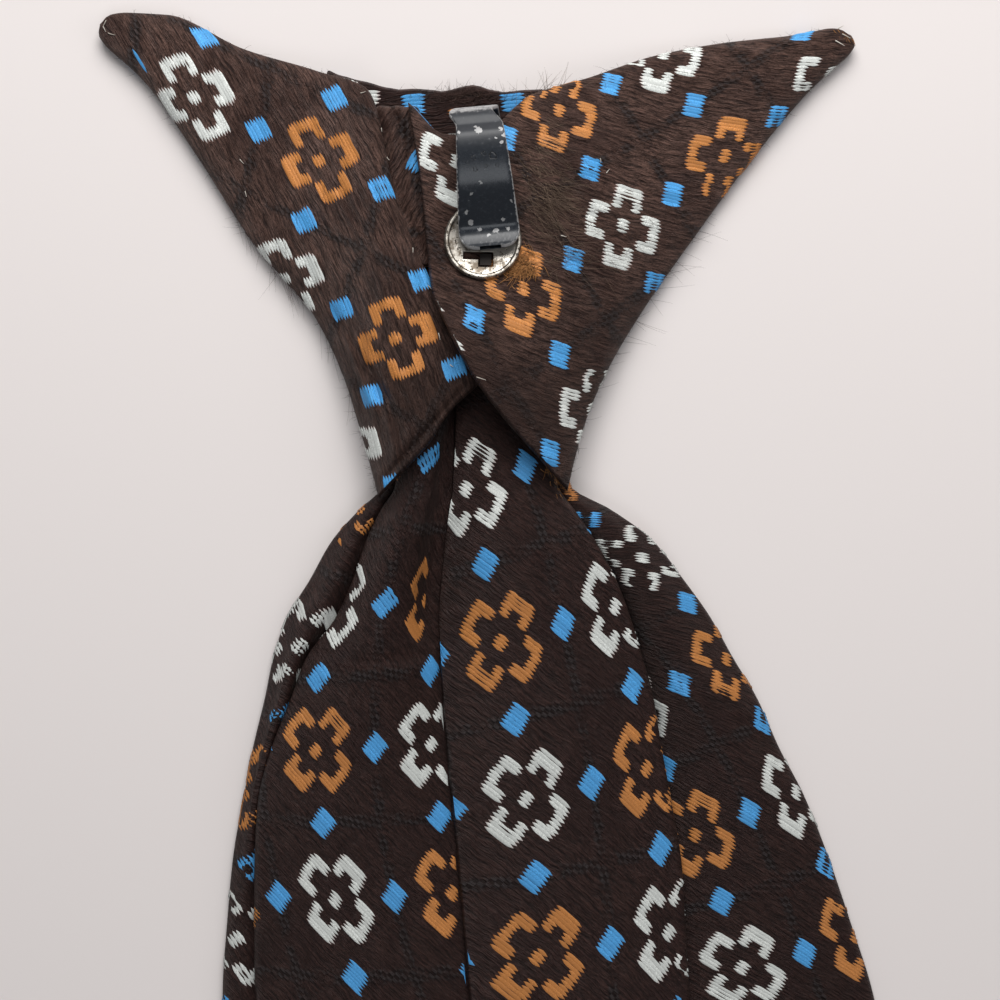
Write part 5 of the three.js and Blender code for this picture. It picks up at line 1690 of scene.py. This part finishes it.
def paint_material():
    """Black enamel on spring steel: bare and silvery along the edges and over the top bend, the bend
    partly worn paint and partly a painted highlight, with chips, rings left by drops, and a scuffed
    bite."""
    material, tree, shader = new_material("black_enamel")
    _, along, across = surface_uv(tree, "Strip")
    place = object_place(tree)
    flat_place = scaled(tree, place, 1.0, 1.0, 0.0)
    grain = noise(tree, place, 1500.0, 3.0, 0.6)
    uneven = calc(tree, "SUBTRACT", noise(tree, place, 2400.0, 2.0), 0.5)
    outline = times(tree, uneven, 0.0009)
    rough_edge = times_add(tree, grain, 0.16, calc(tree, "ABSOLUTE", across))
    metal = times(tree, ramp(tree, rough_edge, 1.035, 1.06), 0.75)
    pitted = None
    for x, y, radius, bare in STRIP_MARKS:
        gap = vector_calc(tree, "DISTANCE", flat_place, on_strip(x, y), "Value")
        far = calc(tree, "DIVIDE", calc(tree, "ADD", gap, outline), radius * METRES)
        inside = rest_of(tree, ramp(tree, far, 0.8, 1.0))
        if bare:
            metal = calc(tree, "MAXIMUM", metal, times(tree, inside, bare))
        else:
            line = calc(tree, "SUBTRACT", inside, rest_of(tree, ramp(tree, far, 0.5, 0.72)))
            pitted = line if pitted is None else calc(tree, "MAXIMUM", pitted, line)
    # Silvery metal over the top bend: partly worn paint, partly a painted highlight of the light
    # above it
    bend = calc(tree, "SUBTRACT", ramp(tree, along, 2.28, 2.44), ramp(tree, along, 2.66, 2.84))
    bend_wear_and_highlight = ramp(tree, times_add(tree, bend, 0.5, grain), 0.66, 1.12)
    metal = calc(tree, "MAXIMUM", metal, bend_wear_and_highlight)
    bite = rest_of(tree, ramp(tree, along, 0.05, 0.38))
    scratches = ramp(tree, noise(tree, scaled(tree, place, 1.0, 0.3), 2600.0, 2.0), 0.52, 0.7)
    scuffs = times(tree, times(tree, scratches, bite), 0.16)
    metal = calc(tree, "MAXIMUM", metal, scuffs)
    steel = blend_colour(tree, grain, (0.26, 0.26, 0.26), (0.5, 0.5, 0.5))
    dust = ramp(tree, grain, 0.5, 0.9)
    dusty = blend_colour(tree, dust, (0.01, 0.013, 0.018), (0.035, 0.04, 0.048))
    dusty = blend_colour(tree, times(tree, pitted, 0.8), dusty, (0.002, 0.002, 0.003))
    rough = times_add(tree, metal, 0.16, times_add(tree, grain, 0.14, 0.17))
    scuffed = calc(tree, "MAXIMUM", ramp(tree, along, 1.5, 2.05), bite)
    feed_all(tree, shader, {
        "Base Color": blend_colour(tree, metal, dusty, steel), "Metallic": times(tree, metal, 0.5),
        "Roughness": times_add(tree, scuffed, 0.27, rough)})
    height = times_add(tree, metal, -1.0, times(tree, pitted, -0.8))
    bump(tree, shader, times_add(tree, grain, 0.12, height), 0.00005, 0.7)
    return material


def nickel_material():
    """Dull nickel: stained and pitted, darker and lighter in patches."""
    material, tree, shader = new_material("dull_nickel")
    place = object_place(tree)
    stains = noise(tree, place, 520.0, 4.0, 0.65)
    pits = ramp(tree, noise(tree, place, 2200.0, 2.0), 0.6, 0.7)
    base = blend_colour(tree, ramp(tree, stains, 0.42, 0.62), (0.5, 0.47, 0.42), (0.13, 0.105, 0.08))
    base = blend_colour(tree, pits, base, (0.06, 0.05, 0.04))
    feed_all(tree, shader, {
        "Base Color": base, "Metallic": 0.85,
        "Roughness": times_add(tree, stains, 0.5, 0.14)})
    height = times_add(tree, pits, -0.8, times(tree, stains, 0.5))
    bump(tree, shader, height, 0.00008, 0.8)
    return material


def dark_steel_material():
    """Dark tarnished steel with a little brown in it."""
    material, tree, shader = new_material("tarnished_steel")
    rust = noise(tree, object_place(tree), 1800.0, 3.0)
    base = blend_colour(tree, rust, (0.006, 0.005, 0.0045), (0.022, 0.015, 0.011))
    feed_all(tree, shader, {"Base Color": base, "Metallic": 0.5, "Roughness": 0.55})
    bump(tree, shader, rust, 0.00005, 0.6)
    return material


def float_material(name, colour, tip):
    """Glossy floats: their own colour, a little different from thread to thread, paler or darker
    in streaks, and tinted towards the tips where they dive into the cloth."""
    material, tree, shader = new_material(name)
    _, along, thread = surface_uv(tree, "Weave")
    streaks = noise(tree, object_place(tree), 5200.0, 2.0, 0.6)
    centre = calc(tree, "ABSOLUTE", calc(tree, "SUBTRACT", along, 0.5))
    base = blend_colour(tree, thread, toned(colour, 0.7), toned(colour, 1.15))
    base = blend_colour(tree, ramp(tree, streaks, 0.3, 0.75), toned(colour, 0.6), base)
    base = blend_colour(tree, times(tree, ramp(tree, centre, 0.36, 0.5), 0.75), base, tip)
    # Painted shade: the threads darker towards the waist and the blade, for the light that falls off
    # down the tie
    base = painted_falloff_shade(tree, base, colour, THREADS_SHADE_FULL_BELOW, THREADS_SHADE_GONE_ABOVE, 0.36)
    feed_all(tree, shader, {
        "Base Color": base, "Roughness": 0.5, "Specular IOR Level": 0.2,
        "Sheen Weight": 0.05, "Sheen Roughness": 0.35})
    bump(tree, shader, streaks, 0.00008, 0.6)
    return material


# The tie

blade, blade_top, flat_width, flat_length, flat_area = make_blade()
left_wing, left_top = make_wing(
    "wing_left_cloth", LEFT_WING_ROWS, LEFT_ROOT_ROWS, lambda x, y: 0 * x,
    LEFT_WING_CREASES, 21, "left_wing")
right_wing, right_top = make_wing(
    "wing_right_cloth", RIGHT_WING_ROWS, RIGHT_ROOT_ROWS, right_bumps,
    RIGHT_WING_CREASES, 22, "right_wing")
knot_front, knot_top = make_face()
blade_seen = blade_top[:SEEN_STATIONS, :17 * PATH_PARTS]
tuck = make_tuck()

brown = cloth_material("brown_satin", (0.027, 0.0112, 0.0098), (0.05, 0.024, 0.02), 0.22)
# The wings and the tuck get a lighter copy of the same satin: partly wear, and partly painted light
# for the brighter light that falls on them than on the blade
lit_and_worn_brown = cloth_material("lit_and_worn_brown_satin", (0.038, 0.017, 0.0135), (0.15, 0.085, 0.067), 0.62)
for piece in (blade, knot_front):
    piece.data.materials.append(brown)
for piece in (left_wing, right_wing, tuck):
    piece.data.materials.append(lit_and_worn_brown)

# Each kind of float with its seed, its colour and the colour of its tips
THREADS = [
    ("white", 31, (0.76, 0.79, 0.76), (0.4, 0.27, 0.25)),
    ("orange", 32, (0.6, 0.24, 0.066), (0.2, 0.065, 0.022)),
    ("blue", 33, (0.09, 0.4, 0.83), (0.08, 0.19, 0.36)),
]
float_pieces = []
for kind, seed, colour, tip in THREADS:
    piece = make_floats(kind + "_floats", kind, seed)
    piece.data.materials.append(float_material(kind + "_thread", colour, tip))
    float_pieces.append(piece)

strip = make_strip()
button = make_button()
strip.data.materials.append(paint_material())
button.data.materials.append(nickel_material())
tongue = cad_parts["clip_prong"]
tongue.data.materials.clear()
tongue.data.materials.append(dark_steel_material())

rng = np.random.default_rng(41)
dark_sets = [
    edge_fuzz(rng, left_top, 150, "lower", 0.5, 1.7),
    edge_fuzz(rng, left_top, 70, "upper", 0.4, 1.4),
    edge_fuzz(rng, right_top, 130, "lower", 0.5, 1.6),
    edge_fuzz(rng, right_top, 90, "upper", 0.4, 1.6),
    napped(rng, left_top, 150, (300, 260), (110, 150), -65, 24, 2.0, 6.0, 0.4),
    napped(rng, right_top, 150, (600, 250), (110, 110), -10, 24, 2.0, 6.0, 0.4),
    napped(rng, right_top, 300, (540, 175), (28, 62), -35, 26, 2.5, 5.5, 0.9),
    napped(rng, knot_top, 240, (470, 97), (46, 7), 90, 70, 0.8, 2.4, 1.6),
]
light_sets = [
    napped(rng, right_top, 300, (537, 176), (18, 54), -38, 18, 2.5, 6.0, 1.0),
    napped(rng, right_top, 120, (548, 200), (20, 26), -20, 20, 2.5, 5.0, 1.0),
    napped(rng, right_top, 50, (562, 236), (26, 16), -8, 30, 2.0, 4.5, 0.8),
    napped(rng, right_top, 26, (552, 86), (44, 6), 80, 50, 2.0, 4.6, 1.0),
    napped(rng, right_top, 60, (560, 262), (44, 14), -20, 40, 1.5, 4.0, 0.7),
]
orange_sets = [
    napped(rng, right_top, 420, (520, 265), (15, 13), 205, 50, 0.8, 2.6, 1.3),
    stitched(rng, right_top, RAW_END),
    napped(rng, blade_seen, 16, (547, 466), (4, 4), -58, 22, 0.8, 2.0, 0.6),
    napped(rng, blade_seen, 18, (553, 476), (4, 5), -58, 22, 0.8, 2.0, 0.6),
    napped(rng, blade_seen, 16, (559, 488), (4, 5), -58, 22, 0.8, 1.8, 0.6),
]
thread_sets = [stitched(rng, left_top, LEFT_THREADS), stitched(rng, right_top, RIGHT_THREADS)]
# Each piece of loose fibres: its sets, their radius, its material and the two ends of its colour
LOOSE = [
    ("dark_fuzz", dark_sets, 0.026, "dark_fibre", (0.02, 0.011, 0.009), (0.09, 0.055, 0.045)),
    ("light_fuzz", light_sets, 0.03, "light_fibre", (0.045, 0.025, 0.018), (0.2, 0.14, 0.1)),
    ("orange_fuzz", orange_sets, 0.06, "orange_fibre", (0.12, 0.05, 0.018), (0.42, 0.2, 0.07)),
    ("stray_threads", thread_sets, 0.11, "pale_thread", (0.3, 0.26, 0.22), (0.62, 0.58, 0.52)),
]
for name, sets, radius, material, dark, light in LOOSE:
    piece = make_hairs(name, *gathered(sets), radius)
    piece.data.materials.append(hair_material(material, dark, light))
    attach(piece, "root")

pieces = [
    (strip, "clip_arm", "black_paint"),
    (button, "clip_disc", "nickel"),
    (blade, "blade", "blade_cloth"),
    (left_wing, "wing_left", "wing_cloth"),
    (right_wing, "wing_right", "wing_cloth"),
    (knot_front, "knot_face", "knot_cloth"),
    (tuck, "knot_tuck", "knot_cloth"),
]
for piece, node, cloth in pieces:
    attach(piece, "root")
    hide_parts(node)
for piece in float_pieces:
    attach(piece, "root")

# Floor, light and eye

FLOOR_HALF = 3.0
floor_mesh = bpy.data.meshes.new("floor")
corners = [(x * FLOOR_HALF, y * FLOOR_HALF, 0) for x, y in ((-1, -1), (1, -1), (1, 1), (-1, 1))]
floor_mesh.from_pydata(corners, [], [(0, 1, 2, 3)])
put_in_scene("floor", floor_mesh)
pale, pale_tree, pale_shader = new_material("pale_floor")
feed_all(pale_tree, pale_shader, {"Base Color": (0.64, 0.6, 0.59, 1.0), "Roughness": 0.7})
floor_mesh.materials.append(pale)


def soft_light(name, place, size, power, colour):
    """A large square light that looks at the knot."""
    light = bpy.data.lights.new(name, "AREA")
    light.shape = "SQUARE"
    light.size = size
    light.energy = power
    light.color = colour
    lamp = put_in_scene(name, light)
    lamp.location = place
    aim = WAIST * METRES - np.array(place)
    lamp.rotation_euler = Vector(aim.tolist()).to_track_quat("-Z", "Y").to_euler()


# Each light's place in metres, size in metres, power in watts and colour
soft_light("window_light", (-0.01, 0.56, 0.42), 0.42, 4.5, (1.0, 0.985, 0.97))
soft_light("side_light", (0.75, 0.2, 0.7), 0.7, 1.3, (1.0, 0.97, 0.95))
soft_light("low_light", (0.0, -0.32, 0.95), 0.4, 1.1, (0.93, 0.96, 1.0))
world = bpy.data.worlds.new("room")
bpy.context.scene.world = world
world.use_nodes = True
feed_all(world.node_tree, world.node_tree.nodes["Background"], {
    "Color": (0.97, 0.975, 1.0, 1.0), "Strength": 0.19})

lens = bpy.data.cameras.new("eye")
lens.sensor_width = 36.0
lens.lens = 0.5 * lens.sensor_width * VIEW_DEPTH / VIEW_HALF
lens.clip_start = 0.01
lens.clip_end = 20.0
eye = put_in_scene("eye", lens)
eye.location = ((EYE + WAIST) * METRES).tolist()
bpy.context.scene.camera = eye

bpy.context.scene.view_settings.view_transform = "Standard"

bpy.context.view_layer.update()
